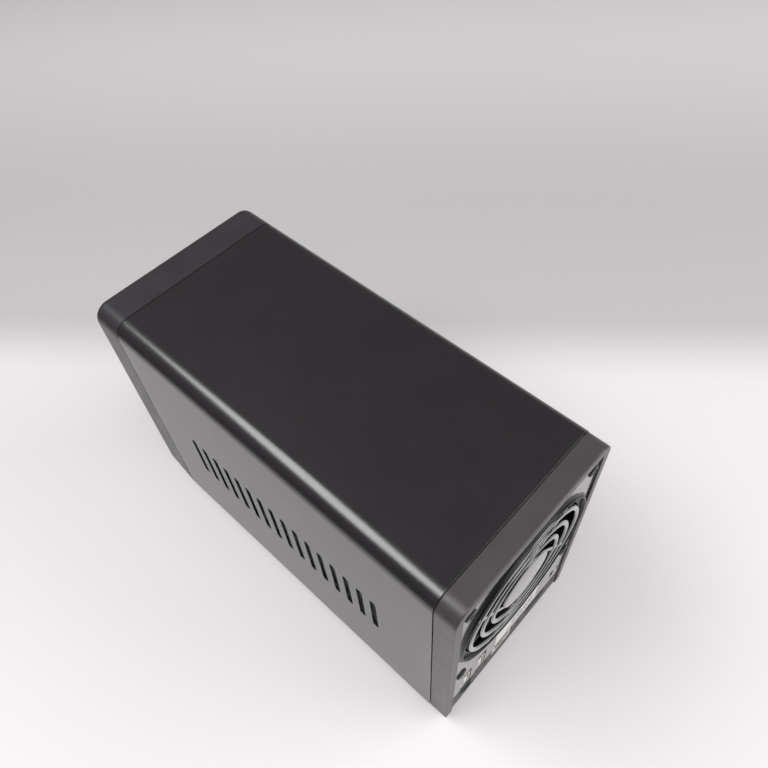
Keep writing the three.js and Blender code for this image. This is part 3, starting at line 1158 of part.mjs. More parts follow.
TRAY_CENTRES.forEach((x, i) => {
  const tray = new THREE.Group();
  device.add(tray);
  place(`tray_face_${i + 1}`, trayFace(x), "blackPlastic", tray);
  place(`tray_frame_${i + 1}`, trayFrame(x), "blackPlastic", tray);
  place(`hard_drive_${i + 1}`, hardDrive(x), "castAluminium", tray);
  place(`tray_handle_${i + 1}`, trayHandle(x), "glossPlastic", tray);
  place(`tray_lock_${i + 1}`, trayLock(x), "nickel", tray);
});

export default device;
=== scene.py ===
"""Looks for a two-bay desktop storage box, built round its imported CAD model.

Pieces are drawn in millimetres in the model's own frame and turned into metres when their mesh is made:
+X right seen from the front, +Y to the rear, +Z up, the origin on the desk under the middle of the case.
"""
import json
import math

import bmesh
import bpy
from mathutils import Matrix, Vector

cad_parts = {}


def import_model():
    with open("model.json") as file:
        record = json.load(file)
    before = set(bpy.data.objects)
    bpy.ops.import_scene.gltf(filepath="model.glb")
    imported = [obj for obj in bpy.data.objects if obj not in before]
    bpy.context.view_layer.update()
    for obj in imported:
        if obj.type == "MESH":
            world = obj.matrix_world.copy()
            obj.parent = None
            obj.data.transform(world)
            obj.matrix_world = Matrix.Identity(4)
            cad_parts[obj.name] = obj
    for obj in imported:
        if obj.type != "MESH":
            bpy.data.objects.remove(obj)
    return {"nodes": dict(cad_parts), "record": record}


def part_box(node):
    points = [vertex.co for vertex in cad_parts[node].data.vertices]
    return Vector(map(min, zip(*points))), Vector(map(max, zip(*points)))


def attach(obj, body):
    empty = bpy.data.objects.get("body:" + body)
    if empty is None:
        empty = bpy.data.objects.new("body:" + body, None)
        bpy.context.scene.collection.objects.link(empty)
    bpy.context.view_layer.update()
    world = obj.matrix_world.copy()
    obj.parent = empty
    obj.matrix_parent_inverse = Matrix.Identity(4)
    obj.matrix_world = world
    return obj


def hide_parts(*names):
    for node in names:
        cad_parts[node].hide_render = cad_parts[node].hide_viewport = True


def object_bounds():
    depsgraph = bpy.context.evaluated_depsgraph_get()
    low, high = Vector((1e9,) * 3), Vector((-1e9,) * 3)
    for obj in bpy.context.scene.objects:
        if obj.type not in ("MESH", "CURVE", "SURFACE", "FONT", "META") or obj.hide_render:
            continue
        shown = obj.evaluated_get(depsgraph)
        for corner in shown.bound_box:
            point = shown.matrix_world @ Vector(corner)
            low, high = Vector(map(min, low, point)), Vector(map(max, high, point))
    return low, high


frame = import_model()
CAD_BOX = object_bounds()
MM = 0.001
NODES = frame["nodes"]


def low(node):
    """A CAD node's lowest corner, in millimetres."""
    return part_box(node)[0] / MM


def high(node):
    """A CAD node's highest corner, in millimetres."""
    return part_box(node)[1] / MM


# ---- the case's own dimensions, read from the frame ------------------------------------------------------
CASE_LOW = CAD_BOX[0] / MM
CASE_HIGH = CAD_BOX[1] / MM
HALF_WIDTH = CASE_HIGH.x
TOP = CASE_HIGH.z
FRONT = CASE_LOW.y
REAR = CASE_HIGH.y
EDGE_RADIUS = 9.0
SEAM_GAP = 0.4
SLEEVE_BOTTOM = low("outer_sleeve").z
SLEEVE_FRONT = low("outer_sleeve").y
SLEEVE_REAR = high("outer_sleeve").y
SHEET = 1.0


# ---- mesh tools ------------------------------------------------------------------------------------------
def make_object(name, verts, faces):
    """A mesh object from points in millimetres."""
    mesh = bpy.data.meshes.new(name)
    mesh.from_pydata([Vector(v) * MM for v in verts], [], faces)
    mesh.validate()
    obj = bpy.data.objects.new(name, mesh)
    bpy.context.scene.collection.objects.link(obj)
    outward(obj)
    return obj


def outward(obj):
    """Turns every face of a closed mesh to point out."""
    bm = bmesh.new()
    bm.from_mesh(obj.data)
    bmesh.ops.recalc_face_normals(bm, faces=bm.faces)
    if bm.calc_volume(signed=True) < 0:
        bmesh.ops.reverse_faces(bm, faces=bm.faces)
    bm.to_mesh(obj.data)
    bm.free()


def joined(name, objects):
    """One object that holds the meshes of several, which are removed."""
    bm = bmesh.new()
    for obj in objects:
        bm.from_mesh(obj.data)
    mesh = bpy.data.meshes.new(name)
    bm.to_mesh(mesh)
    bm.free()
    for obj in objects:
        bpy.data.objects.remove(obj)
    result = bpy.data.objects.new(name, mesh)
    bpy.context.scene.collection.objects.link(result)
    return result


def apply_modifiers(obj):
    """Replaces an object's mesh by what its modifiers make of it."""
    graph = bpy.context.evaluated_depsgraph_get()
    made = bpy.data.meshes.new_from_object(obj.evaluated_get(graph))
    obj.modifiers.clear()
    obj.data = made


def boolean(obj, others, operation):
    """Cuts or joins obj with each of the others, which are removed."""
    for other in others:
        modifier = obj.modifiers.new("boolean", "BOOLEAN")
        modifier.operation = operation
        modifier.solver = "EXACT"
        modifier.object = other
        apply_modifiers(obj)
        bpy.data.objects.remove(other)
    return obj


def cut(obj, tools):
    return boolean(obj, tools, "DIFFERENCE")


def arc(cx, cz, radius, start, end, steps):
    """Points on an arc, with angles in degrees."""
    angles = [math.radians(start + (end - start) * i / steps) for i in range(steps + 1)]
    return [(cx + radius * math.cos(a), cz + radius * math.sin(a)) for a in angles]


def rounded_rectangle(x0, x1, z0, z1, radius, steps=6):
    return (arc(x1 - radius, z0 + radius, radius, -90, 0, steps)
            + arc(x1 - radius, z1 - radius, radius, 0, 90, steps)
            + arc(x0 + radius, z1 - radius, radius, 90, 180, steps)
            + arc(x0 + radius, z0 + radius, radius, 180, 270, steps))


def circle(cx, cz, radius, steps=32):
    return arc(cx, cz, radius, 0, 360 - 360 / steps, steps - 1)


def case_outline(inset, bottom, steps=18):
    """The case's section: straight sides and two rounded upper corners."""
    half = HALF_WIDTH - inset
    top = TOP - inset
    radius = EDGE_RADIUS - min(inset, 4)
    return ([(half, bottom)] + arc(half - radius, top - radius, radius, 0, 90, steps)
            + arc(-half + radius, top - radius, radius, 90, 180, steps) + [(-half, bottom)])


def loft(name, rings):
    """A closed solid through rings that hold the same number of points, with flat ends."""
    count = len(rings[0])
    verts = [p for ring in rings for p in ring]
    faces = [list(range(count)), list(range(len(verts) - count, len(verts)))]
    for r in range(len(rings) - 1):
        for i in range(count):
            j = (i + 1) % count
            faces.append([r * count + i, r * count + j, (r + 1) * count + j, (r + 1) * count + i])
    return make_object(name, verts, faces)


def prism_y(name, outline, y0, y1):
    """An outline in X and Z, pushed along Y."""
    return loft(name, [[(x, y0, z) for x, z in outline], [(x, y1, z) for x, z in outline]])


def prism_x(name, outline, x0, x1):
    """An outline in Y and Z, pushed along X."""
    return loft(name, [[(x0, y, z) for y, z in outline], [(x1, y, z) for y, z in outline]])


def prism_z(name, outline, z0, z1):
    """An outline in X and Y, pushed along Z."""
    return loft(name, [[(x, y, z0) for x, y in outline], [(x, y, z1) for x, y in outline]])


def block(name, x0, x1, y0, y1, z0, z1):
    return prism_z(name, [(x0, y0), (x1, y0), (x1, y1), (x0, y1)], z0, z1)


def turned_y(name, profile, x, z, steps=96):
    """A closed profile of (radius, y) points, turned about the line along Y through (x, z)."""
    rings = []
    for i in range(steps):
        a = 2 * math.pi * i / steps
        rings.append([(x + r * math.cos(a), y, z + r * math.sin(a)) for r, y in profile])
    count = len(profile)
    verts = [p for ring in rings for p in ring]
    faces = []
    for i in range(steps):
        n = (i + 1) % steps
        for k in range(count):
            m = (k + 1) % count
            if profile[k][0] < 1e-9 and profile[m][0] < 1e-9:
                continue
            faces.append([i * count + k, i * count + m, n * count + m, n * count + k])
    obj = make_object(name, verts, faces)
    weld(obj)
    return obj


def weld(obj, distance=0.0005):
    """Merges points that lie on each other, such as a turned profile's points on its axis."""
    bm = bmesh.new()
    bm.from_mesh(obj.data)
    bmesh.ops.remove_doubles(bm, verts=bm.verts, dist=distance * MM)
    bmesh.ops.dissolve_degenerate(bm, edges=bm.edges, dist=distance * MM)
    bmesh.ops.recalc_face_normals(bm, faces=bm.faces)
    bm.to_mesh(obj.data)
    bm.free()


def soften(obj, width, segments=2, angle=35):
    """Rounds an object's edges a little and shades it smoothly, as moulded and painted pieces are."""
    bevel = obj.modifiers.new("bevel", "BEVEL")
    bevel.width = width * MM
    bevel.segments = segments
    bevel.limit_method = "ANGLE"
    bevel.angle_limit = math.radians(angle)
    bevel.harden_normals = False
    smooth(obj, angle)
    weighted = obj.modifiers.new("weighted", "WEIGHTED_NORMAL")
    weighted.keep_sharp = True
    return obj


def smooth(obj, angle=35):
    mesh = obj.data
    mesh.shade_smooth()
    mesh.set_sharp_from_angle(angle=math.radians(angle))
    return obj


# ---- materials -------------------------------------------------------------------------------------------
NOISE_SPAN = (0.3, 0.7)  # where nearly all of a noise's values lie


class Surface:
    """A Principled material with procedural detail, in object coordinates."""

    def __init__(self, name, colour, roughness, metallic=0.0, specular=0.5, coat=0.0, coat_roughness=0.1):
        self.material = bpy.data.materials.new(name)
        self.material.use_nodes = True
        self.nodes = self.material.node_tree.nodes
        self.links = self.material.node_tree.links
        self.shader = self.nodes["Principled BSDF"]
        self.shader.inputs["Base Color"].default_value = (*colour, 1)
        self.shader.inputs["Roughness"].default_value = roughness
        self.shader.inputs["Metallic"].default_value = metallic
        self.shader.inputs["Specular IOR Level"].default_value = specular
        self.shader.inputs["Coat Weight"].default_value = coat
        self.shader.inputs["Coat Roughness"].default_value = coat_roughness
        self.colour = colour
        self.place = self.nodes.new("ShaderNodeTexCoord").outputs["Object"]

    def stretched(self, scale):
        """The place, scaled along each axis."""
        node = self.nodes.new("ShaderNodeMapping")
        node.inputs["Scale"].default_value = scale
        self.links.new(self.place, node.inputs["Vector"])
        return node.outputs["Vector"]

    def noise(self, size_mm, detail=2.0, roughness=0.5, place=None):
        """Noise whose features are about size_mm across."""
        node = self.nodes.new("ShaderNodeTexNoise")
        node.inputs["Scale"].default_value = 1 / (size_mm * MM)
        node.inputs["Detail"].default_value = detail
        node.inputs["Roughness"].default_value = roughness
        self.links.new(place or self.place, node.inputs["Vector"])
        return node.outputs["Fac"]

    def remap(self, value, from_low, from_high, to_low, to_high):
        node = self.nodes.new("ShaderNodeMapRange")
        node.inputs["From Min"].default_value = from_low
        node.inputs["From Max"].default_value = from_high
        node.inputs["To Min"].default_value = to_low
        node.inputs["To Max"].default_value = to_high
        self.links.new(value, node.inputs["Value"])
        return node.outputs["Result"]

    def soft_step(self, value, start, end):
        """Goes smoothly from 0 to 1 as a value goes from start to end."""
        node = self.nodes.new("ShaderNodeMapRange")
        node.interpolation_type = "SMOOTHSTEP"
        node.inputs["From Min"].default_value = start
        node.inputs["From Max"].default_value = end
        self.links.new(value, node.inputs["Value"])
        return node.outputs["Result"]

    def mix(self, factor, a, b):
        """A colour between a and b. Each may be a colour or a socket."""
        node = self.nodes.new("ShaderNodeMix")
        node.data_type = "RGBA"
        self.links.new(factor, node.inputs[0])
        for socket, value in ((node.inputs[6], a), (node.inputs[7], b)):
            if isinstance(value, tuple):
                socket.default_value = (*value, 1)
            else:
                self.links.new(value, socket)
        return node.outputs[2]

    def vary_colour(self, value, amount):
        """Lets the base colour drift down and up by a share of itself across the noise's usual span."""
        dark = tuple(c * (1 - amount) for c in self.colour)
        light = tuple(c * (1 + amount) for c in self.colour)
        factor = self.remap(value, *NOISE_SPAN, 0, 1)
        self.links.new(self.mix(factor, dark, light), self.shader.inputs["Base Color"])

    def vary_roughness(self, value, low_roughness, high_roughness):
        roughness = self.remap(value, *NOISE_SPAN, low_roughness, high_roughness)
        self.links.new(roughness, self.shader.inputs["Roughness"])

    def bump(self, height, depth_mm, strength):
        node = self.nodes.new("ShaderNodeBump")
        node.inputs["Strength"].default_value = strength
        node.inputs["Distance"].default_value = depth_mm * MM
        self.links.new(height, node.inputs["Height"])
        self.links.new(node.outputs["Normal"], self.shader.inputs["Normal"])


def powder_coat():
    """Black powder coat: satin, with a fine orange-peel grain."""
    s = Surface("powder_coat", (0.0095, 0.0075, 0.0095), 0.26, specular=1.0)
    grain = s.noise(0.55, 2)
    s.vary_roughness(s.noise(14, 2), 0.255, 0.27)
    s.vary_colour(s.noise(28, 3), 0.12)
    s.bump(grain, 0.02, 0.3)
    return s.material


def case_plastic():
    """Black moulded plastic with a fine spark-eroded texture."""
    s = Surface("case_plastic", (0.026, 0.0235, 0.0262), 0.36)
    s.vary_roughness(s.noise(12, 2), 0.33, 0.39)
    s.vary_colour(s.noise(20, 2), 0.1)
    s.bump(s.noise(0.4, 2), 0.02, 0.5)
    return s.material


def frame_lit_plastic():
    """The rear frame's plastic: the front's plastic painted greyer to stand for the stronger light that falls
    on the rear, and a little duller.
    """
    # colour about twice the front plastic's: painted light on the rear frame
    s = Surface("frame_lit_plastic", (0.052, 0.047, 0.050), 0.37, specular=0.5)
    s.vary_roughness(s.noise(12, 2), 0.35, 0.39)
    s.vary_colour(s.noise(18, 2), 0.08)
    s.bump(s.noise(0.4, 2), 0.02, 0.5)
    return s.material


def panel_paint():
    """Smooth semi-gloss black paint on flat steel."""
    s = Surface("panel_paint", (0.02, 0.02, 0.021), 0.16, coat=0.6, coat_roughness=0.12)
    s.vary_roughness(s.noise(14, 3), 0.13, 0.19)
    s.vary_colour(s.noise(22, 2), 0.15)
    s.bump(s.noise(6, 2), 0.01, 0.3)
    return s.material


def skirt_coat():
    """The panel's lower strip, in a duller, less glossy finish than the rest of it, so that it reads darker.
    """
    s = Surface("skirt_coat", (0.050, 0.046, 0.049), 0.46, specular=0.3)
    s.vary_roughness(s.noise(7, 2), 0.42, 0.50)
    s.vary_colour(s.noise(12, 2), 0.12)
    s.bump(s.noise(0.4, 2), 0.02, 0.5)
    return s.material


def gloss_black():
    s = Surface("gloss_black", (0.008, 0.008, 0.009), 0.12, specular=0.9, coat=1.0, coat_roughness=0.08)
    s.vary_roughness(s.noise(8, 2), 0.1, 0.16)
    s.vary_colour(s.noise(15, 2), 0.2)
    return s.material


def collar_black():
    """The guard's collar: a copy of its rings' plastic, made dull and a little darker so that its wall reads
    near black: painted shade.
    """
    s = Surface("collar_black", (0.006, 0.006, 0.007), 0.34, specular=0.3)
    s.vary_roughness(s.noise(8, 2), 0.31, 0.37)
    s.vary_colour(s.noise(15, 2), 0.2)
    return s.material


def fan_plastic():
    s = Surface("fan_plastic", (0.012, 0.012, 0.013), 0.5)
    s.vary_roughness(s.noise(5, 2), 0.45, 0.55)
    s.vary_colour(s.noise(10, 2), 0.2)
    s.bump(s.noise(0.3, 2), 0.02, 0.4)
    return s.material


def zinc_steel():
    """Zinc-plated sheet, with the faint spangle and rolling streaks of plated steel."""
    s = Surface("zinc_steel", (0.52, 0.54, 0.55), 0.38, 1.0)
    streaks = s.noise(0.5, 2, place=s.stretched((1, 0.03, 1)))
    s.vary_roughness(streaks, 0.3, 0.48)
    s.vary_colour(s.noise(7, 3), 0.12)
    s.bump(streaks, 0.004, 0.3)
    return s.material


def socket_metal():
    s = Surface("socket_metal", (0.74, 0.73, 0.70), 0.28, 1.0)
    streaks = s.noise(0.25, 2, place=s.stretched((1, 0.05, 1)))
    s.vary_roughness(streaks, 0.2, 0.36)
    s.vary_colour(s.noise(3, 2), 0.1)
    return s.material


def black_screw():
    s = Surface("black_screw", (0.03, 0.03, 0.032), 0.34, 0.6)
    s.vary_roughness(s.noise(1.2, 2), 0.28, 0.42)
    s.vary_colour(s.noise(1, 2), 0.3)
    return s.material


def drive_casting():
    s = Surface("drive_casting", (0.46, 0.47, 0.48), 0.45, 1.0)
    s.vary_roughness(s.noise(0.8, 3), 0.38, 0.52)
    s.vary_colour(s.noise(4, 3), 0.1)
    s.bump(s.noise(0.5, 3), 0.02, 0.4)
    return s.material


def sink_metal():
    s = Surface("sink_metal", (0.16, 0.17, 0.19), 0.45, 0.9)
    s.vary_roughness(s.noise(0.6, 2, place=s.stretched((1, 0.04, 1))), 0.36, 0.52)
    s.vary_colour(s.noise(6, 2), 0.1)
    return s.material


def board_green():
    """Green solder mask, with the shadows of copper tracks under it."""
    s = Surface("board_green", (0.012, 0.07, 0.03), 0.35)
    s.vary_colour(s.noise(2.2, 1), 0.35)
    s.vary_roughness(s.noise(4, 2), 0.28, 0.42)
    s.bump(s.noise(1.1, 1), 0.02, 0.4)
    return s.material


def socket_plastic():
    s = Surface("socket_plastic", (0.018, 0.018, 0.018), 0.4)
    s.vary_roughness(s.noise(2, 2), 0.34, 0.46)
    s.vary_colour(s.noise(3, 2), 0.2)
    return s.material


def white_plastic():
    s = Surface("white_plastic", (0.86, 0.85, 0.82), 0.35)
    s.vary_roughness(s.noise(2, 2), 0.3, 0.42)
    s.vary_colour(s.noise(4, 2), 0.03)
    return s.material


def light_pipe():
    s = Surface("light_pipe", (0.62, 0.68, 0.66), 0.25)
    s.shader.inputs["Transmission Weight"].default_value = 0.6
    s.shader.inputs["IOR"].default_value = 1.49
    s.vary_roughness(s.noise(1.5, 2), 0.2, 0.34)
    s.vary_colour(s.noise(2, 2), 0.06)
    return s.material


def foot_rubber():
    s = Surface("foot_rubber", (0.014, 0.014, 0.014), 0.75)
    s.vary_roughness(s.noise(3, 3), 0.68, 0.85)
    s.vary_colour(s.noise(4, 3), 0.25)
    s.bump(s.noise(0.4, 3), 0.05, 0.5)
    return s.material


def label_paper():
    """White label stock, a little cockled."""
    s = Surface("label_paper", (0.80, 0.79, 0.765), 0.45)
    s.vary_roughness(s.noise(2, 2), 0.40, 0.52)
    s.vary_colour(s.noise(6, 2), 0.03)
    s.bump(s.noise(5, 1), 0.05, 0.3)
    return s.material


def label_ink():
    """Dull grey ink for the label's plain bars."""
    s = Surface("label_ink", (0.10, 0.10, 0.105), 0.5)
    s.vary_roughness(s.noise(1, 2), 0.45, 0.55)
    s.vary_colour(s.noise(0.6, 2), 0.3)
    return s.material


def gold_contact():
    s = Surface("gold_contact", (0.83, 0.62, 0.28), 0.25, 1.0)
    s.vary_roughness(s.noise(0.6, 2), 0.2, 0.32)
    s.vary_colour(s.noise(0.8, 2), 0.08)
    return s.material


MATERIALS = {
    "powder_coat": powder_coat(), "case_plastic": case_plastic(), "panel_coat": panel_paint(),
    "gloss_black": gloss_black(), "fan_plastic": fan_plastic(), "zinc_steel": zinc_steel(),
    "socket_metal": socket_metal(), "black_screw": black_screw(), "drive_casting": drive_casting(),
    "sink_metal": sink_metal(), "board_green": board_green(), "socket_plastic": socket_plastic(),
    "white_plastic": white_plastic(), "light_pipe": light_pipe(), "foot_rubber": foot_rubber(),
    "label_paper": label_paper(), "frame_lit_plastic": frame_lit_plastic(), "skirt_coat": skirt_coat(),
    "label_ink": label_ink(), "gold_contact": gold_contact(), "collar_black": collar_black(),
}
SLOT_OF = {row["node"]: row["material_slot"] for row in frame["record"]["subparts"]}
BODY_OF = {node: body for body, members in frame["record"]["behaviour"]["bodies"].items() for node in members}


def add_to(piece, node, slot=None, look=None):
    """The piece rides with the CAD node's body, in the node's finish unless a slot or a look is given."""
    finish = slot or SLOT_OF[node]
    piece.data.materials.clear()
    piece.data.materials.append(MATERIALS[look or finish])
    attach(piece, BODY_OF[node])
    return piece


def stand_for(piece, node, slot=None, look=None):
    """The piece is shown in the CAD node's place."""
    add_to(piece, node, slot, look)
    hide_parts(node)
    return piece


# ---- casing ----------------------------------------------------------------------------------------------
OVERCUT = 1.0
BEYOND = 20.0
FIT_GAP = 0.3
PAST_SIDES = 5
FINE = 96
VENT_SLOTS = 16
VENT_FIRST_Y = -61
VENT_PITCH = 8.7
VENT_WIDTH = 3.6
VENT_BOTTOM = 61
VENT_TOP = 94


def sleeve():
    """The folded steel cover, with a rolled edge radius, and one row of upright vents in each side."""
    outside = case_outline(0, SLEEVE_BOTTOM)
    inside = case_outline(SHEET, SLEEVE_BOTTOM)
    shell = prism_y("sleeve_shell", outside + inside[::-1], SLEEVE_FRONT, SLEEVE_REAR)
    slots = []
    for i in range(VENT_SLOTS):
        y = VENT_FIRST_Y + i * VENT_PITCH
        half = VENT_WIDTH / 2
        outline = rounded_rectangle(y - half, y + half, VENT_BOTTOM, VENT_TOP, half - 0.01)
        slots.append(prism_x("slot", outline, -HALF_WIDTH - PAST_SIDES, HALF_WIDTH + PAST_SIDES))
    cut(shell, [joined("slots", slots)])
    return soften(shell, 0.38, 3, 30)


BEZEL_REAR = SLEEVE_FRONT - SEAM_GAP
BEZEL_SOFTENING = 0.5
BEZEL_SOFT_DEPTH = 2.2
BEZEL_WALL = 2.4
BEZEL_SLOPE_FRONT = 20.5
SPIGOT_REAR = high("front_bezel").y
SPIGOT_WALL = 1.5
OPENING_LEFT = -47.6
OPENING_RIGHT = 19.6
OPENING_BOTTOM = low("tray_face_1").z - FIT_GAP
OPENING_TOP = high("tray_face_1").z + FIT_GAP
COLUMN_X = 34.5
COLUMN_LEFT = 22
COLUMN_RIGHT = 48.6
COLUMN_FACE = 2.6
COLUMN_BOTTOM = 27
COLUMN_TOP = 149
HOLE_DEPTH = 8
LIGHT_GAP = 0.2
BUTTON_GAP = 0.35
COPY_HALF_WIDTH = 5
COPY_HALF_HEIGHT = 2.5
COPY_HOLE_CORNER = 2.4
COPY_Z = 70
POWER_Z = 37
POWER_RADIUS = 6
ROUNDING_STEPS = 5


def bezel():
    """The moulded front, with its tray opening, its column of controls and a sloping underside."""
    rings = [[(x, BEZEL_REAR, z) for x, z in case_outline(0, 0)]]
    for i in range(ROUNDING_STEPS + 1):
        a = math.radians(90 * i / ROUNDING_STEPS)
        inset = BEZEL_SOFTENING * (1 - math.cos(a))
        y = FRONT + BEZEL_SOFT_DEPTH * (1 - math.sin(a))
        rings.append([(x, y, z) for x, z in case_outline(inset, 0)])
    shell = loft("bezel_shell", rings)
    rise = (BEZEL_SLOPE_FRONT - SLEEVE_BOTTOM) / (BEZEL_REAR - FRONT)
    slope = prism_x("slope", [(FRONT - BEYOND, BEZEL_SLOPE_FRONT + rise * BEYOND), (FRONT - BEYOND, -BEYOND),
                              (BEZEL_REAR + BEYOND, -BEYOND), (BEZEL_REAR + BEYOND, SLEEVE_BOTTOM),
                              (BEZEL_REAR, SLEEVE_BOTTOM)], -HALF_WIDTH - PAST_SIDES, HALF_WIDTH + PAST_SIDES)
    hollow = prism_y("hollow", case_outline(BEZEL_WALL + 1, 12), BEZEL_REAR - 5, BEZEL_REAR + OVERCUT)
    cut(shell, [hollow])
    spigot_outside = case_outline(SHEET + FIT_GAP, SLEEVE_BOTTOM)
    spigot_inside = case_outline(SHEET + FIT_GAP + SPIGOT_WALL, SLEEVE_BOTTOM)
    spigot = prism_y("spigot", spigot_outside + spigot_inside[::-1], BEZEL_REAR - 2, SPIGOT_REAR)
    boolean(shell, [spigot], "UNION")
    opening = block("opening", OPENING_LEFT, OPENING_RIGHT, FRONT - BEYOND, BEZEL_REAR + BEYOND,
                    OPENING_BOTTOM, OPENING_TOP)
    column = block("column", COLUMN_LEFT, COLUMN_RIGHT, FRONT + COLUMN_FACE, BEZEL_REAR + BEYOND,
                   COLUMN_BOTTOM, COLUMN_TOP)
    cut(shell, [opening, column, slope] + column_holes())
    return soften(shell, 0.35, 3, 30)


def column_holes():
    """The clearance holes in the control column, one round each piece that shows there."""
    y0 = FRONT - OVERCUT
    y1 = FRONT + HOLE_DEPTH
    tools = []
    for node in ("status_light", "network_light", "disk_1_light", "disk_2_light"):
        a, b = low(node), high(node)
        tools.append(block("hole", a.x - LIGHT_GAP, b.x + LIGHT_GAP, y0, y1,
                           a.z - LIGHT_GAP, b.z + LIGHT_GAP))
    a, b = low("front_usb_shell"), high("front_usb_shell")
    tools.append(block("hole", a.x - FIT_GAP, b.x + FIT_GAP, y0, y1, a.z - FIT_GAP, b.z + FIT_GAP))
    tools.append(prism_y("hole", rounded_rectangle(COLUMN_X - COPY_HALF_WIDTH - BUTTON_GAP,
                                                   COLUMN_X + COPY_HALF_WIDTH + BUTTON_GAP,
                                                   COPY_Z - COPY_HALF_HEIGHT - BUTTON_GAP,
                                                   COPY_Z + COPY_HALF_HEIGHT + BUTTON_GAP, COPY_HOLE_CORNER),
                         y0, y1))
    tools.append(prism_y("hole", circle(COLUMN_X, POWER_Z, POWER_RADIUS + BUTTON_GAP, 64), y0, y1))
    return tools


RIM_REAR = high("rear_frame").y
PANEL_REAR = high("rear_panel").y
PANEL_FRONT = low("rear_panel").y
FRAME_INSET = 0.35
FRAME_FRONT = SLEEVE_REAR + SEAM_GAP
FRAME_SOFTENING = 0.4
FRAME_SOFT_DEPTH = 1.2
FRAME_WALL = 3
FRAME_SPIGOT_FRONT = low("rear_frame").y
LIP_HALF = 46.6
LIP_TOP = 150.8
LIP_RADIUS = 3.5


def rear_frame():
    """The moulded frame round the rear panel: a rim with a softened edge and an inner lip."""
    rings = [[(x, FRAME_FRONT, z) for x, z in case_outline(FRAME_INSET, SLEEVE_BOTTOM)]]
    for i in range(ROUNDING_STEPS + 1):
        a = math.radians(90 * i / ROUNDING_STEPS)
        inset = FRAME_INSET + FRAME_SOFTENING * (1 - math.cos(a))
        y = RIM_REAR - FRAME_SOFT_DEPTH * (1 - math.sin(a))
        rings.append([(x, y, z) for x, z in case_outline(inset, SLEEVE_BOTTOM)])
    shell = loft("rear_rim", rings)
    spigot = prism_y("spigot", case_outline(SHEET + FIT_GAP, SLEEVE_BOTTOM), FRAME_SPIGOT_FRONT,
                     FRAME_FRONT + OVERCUT)
    boolean(shell, [spigot], "UNION")
    inside = prism_y("inside", case_outline(FRAME_INSET + FRAME_WALL, -BEYOND), FRAME_SPIGOT_FRONT - OVERCUT,
                     PANEL_REAR)
    lip = prism_y("lip", rounded_rectangle(-LIP_HALF, LIP_HALF, -BEYOND, LIP_TOP, LIP_RADIUS, 10),
                  PANEL_REAR - OVERCUT, REAR + OVERCUT)
    cut(shell, [inside, lip])
    return soften(shell, 0.2, 3, 30)


FAN_Z = 101.8
GUARD_HOLE_RADIUS = 45.4
SCREW_HALF = 41.25
SCREW_HOLE_RADIUS = 2.3
USB_CENTRES = (36, 24.3)
USB_WINDOW_GAP = 0.4
USB_WINDOW_TOP = 47
PANEL_MARKS = ((-8.7, 29.7), (-9.4, 19.3), (-41.3, 20), (-42, 37))
SCREW_PLACES = [(x, FAN_Z + z) for x, z in ((SCREW_HALF, SCREW_HALF), (-SCREW_HALF, SCREW_HALF),
                                            (-SCREW_HALF, -SCREW_HALF), (SCREW_HALF, -SCREW_HALF))]

SKIRT_TOP = 26
PANEL_CORNER = 5.4
USB_HALF_WIDTH = 3.5
USB_WALL = 0.6
INLET_X = 35
INLET_Z = 18.1
INLET_RADIUS = 5.4
RESET_X = 18.5
RESET_Z = 17
RESET_HOLE_RADIUS = 1.6
LAN_X = 5.2
LAN_HALF_WIDTH = 7.9
LAN_BOTTOM = 15.2
LAN_TOP = 28.8
DATA_PORT_X = -25.1
DATA_PORT_HALF_WIDTH = 8.5
DATA_PORT_BOTTOM = 17
DATA_PORT_TOP = 23.6
LOCK_SLOT = (-38.5, -35.5, 32.5, 39.5)
LOCK_SLOT_CORNER = 0.8
MARK_RADIUS = 1.2


def rear_panel(name, bottom, top):
    """One band of the painted steel sheet that holds the fan, with a window round each socket."""
    a, b = low("rear_panel"), high("rear_panel")
    corner = PANEL_CORNER
    outline = ([(b.x, a.z)] + arc(b.x - corner, b.z - corner, corner, 0, 90, 12)
               + arc(a.x + corner, b.z - corner, corner, 90, 180, 12) + [(a.x, a.z)])
    sheet = prism_y(name, outline, PANEL_FRONT, PANEL_REAR)
    y0 = PANEL_FRONT - OVERCUT
    y1 = PANEL_REAR + OVERCUT
    tools = [prism_y("hole", circle(0, FAN_Z, GUARD_HOLE_RADIUS, FINE), y0, y1)]
    tools += [prism_y("hole", circle(x, z, SCREW_HOLE_RADIUS), y0, y1) for x, z in SCREW_PLACES]
    shell = low("rear_usb_shell_1")
    for x in USB_CENTRES:
        half = USB_HALF_WIDTH + USB_WINDOW_GAP
        tools.append(block("hole", x - half, x + half, y0, y1, shell.z - USB_WINDOW_GAP, USB_WINDOW_TOP))
    tools.append(prism_y("hole", circle(INLET_X, INLET_Z, INLET_RADIUS + FIT_GAP, 64), y0, y1))
    tools.append(prism_y("hole", circle(RESET_X, RESET_Z, RESET_HOLE_RADIUS), y0, y1))
    for x, half, z0, z1 in ((LAN_X, LAN_HALF_WIDTH, LAN_BOTTOM, LAN_TOP),
                            (DATA_PORT_X, DATA_PORT_HALF_WIDTH, DATA_PORT_BOTTOM, DATA_PORT_TOP)):
        tools.append(block("hole", x - half - FIT_GAP, x + half + FIT_GAP, y0, y1,
                           z0 - FIT_GAP, z1 + FIT_GAP))
    tools.append(prism_y("hole", rounded_rectangle(*LOCK_SLOT, LOCK_SLOT_CORNER), y0, y1))
    tools += [prism_y("hole", circle(x, z, MARK_RADIUS, 24), y0, y1) for x, z in PANEL_MARKS]
    cut(sheet, tools)
    band = block("band", a.x - OVERCUT, b.x + OVERCUT, y0, y1, bottom, top)
    boolean(sheet, [band], "INTERSECT")
    return soften(sheet, 0.15, 2, 30)


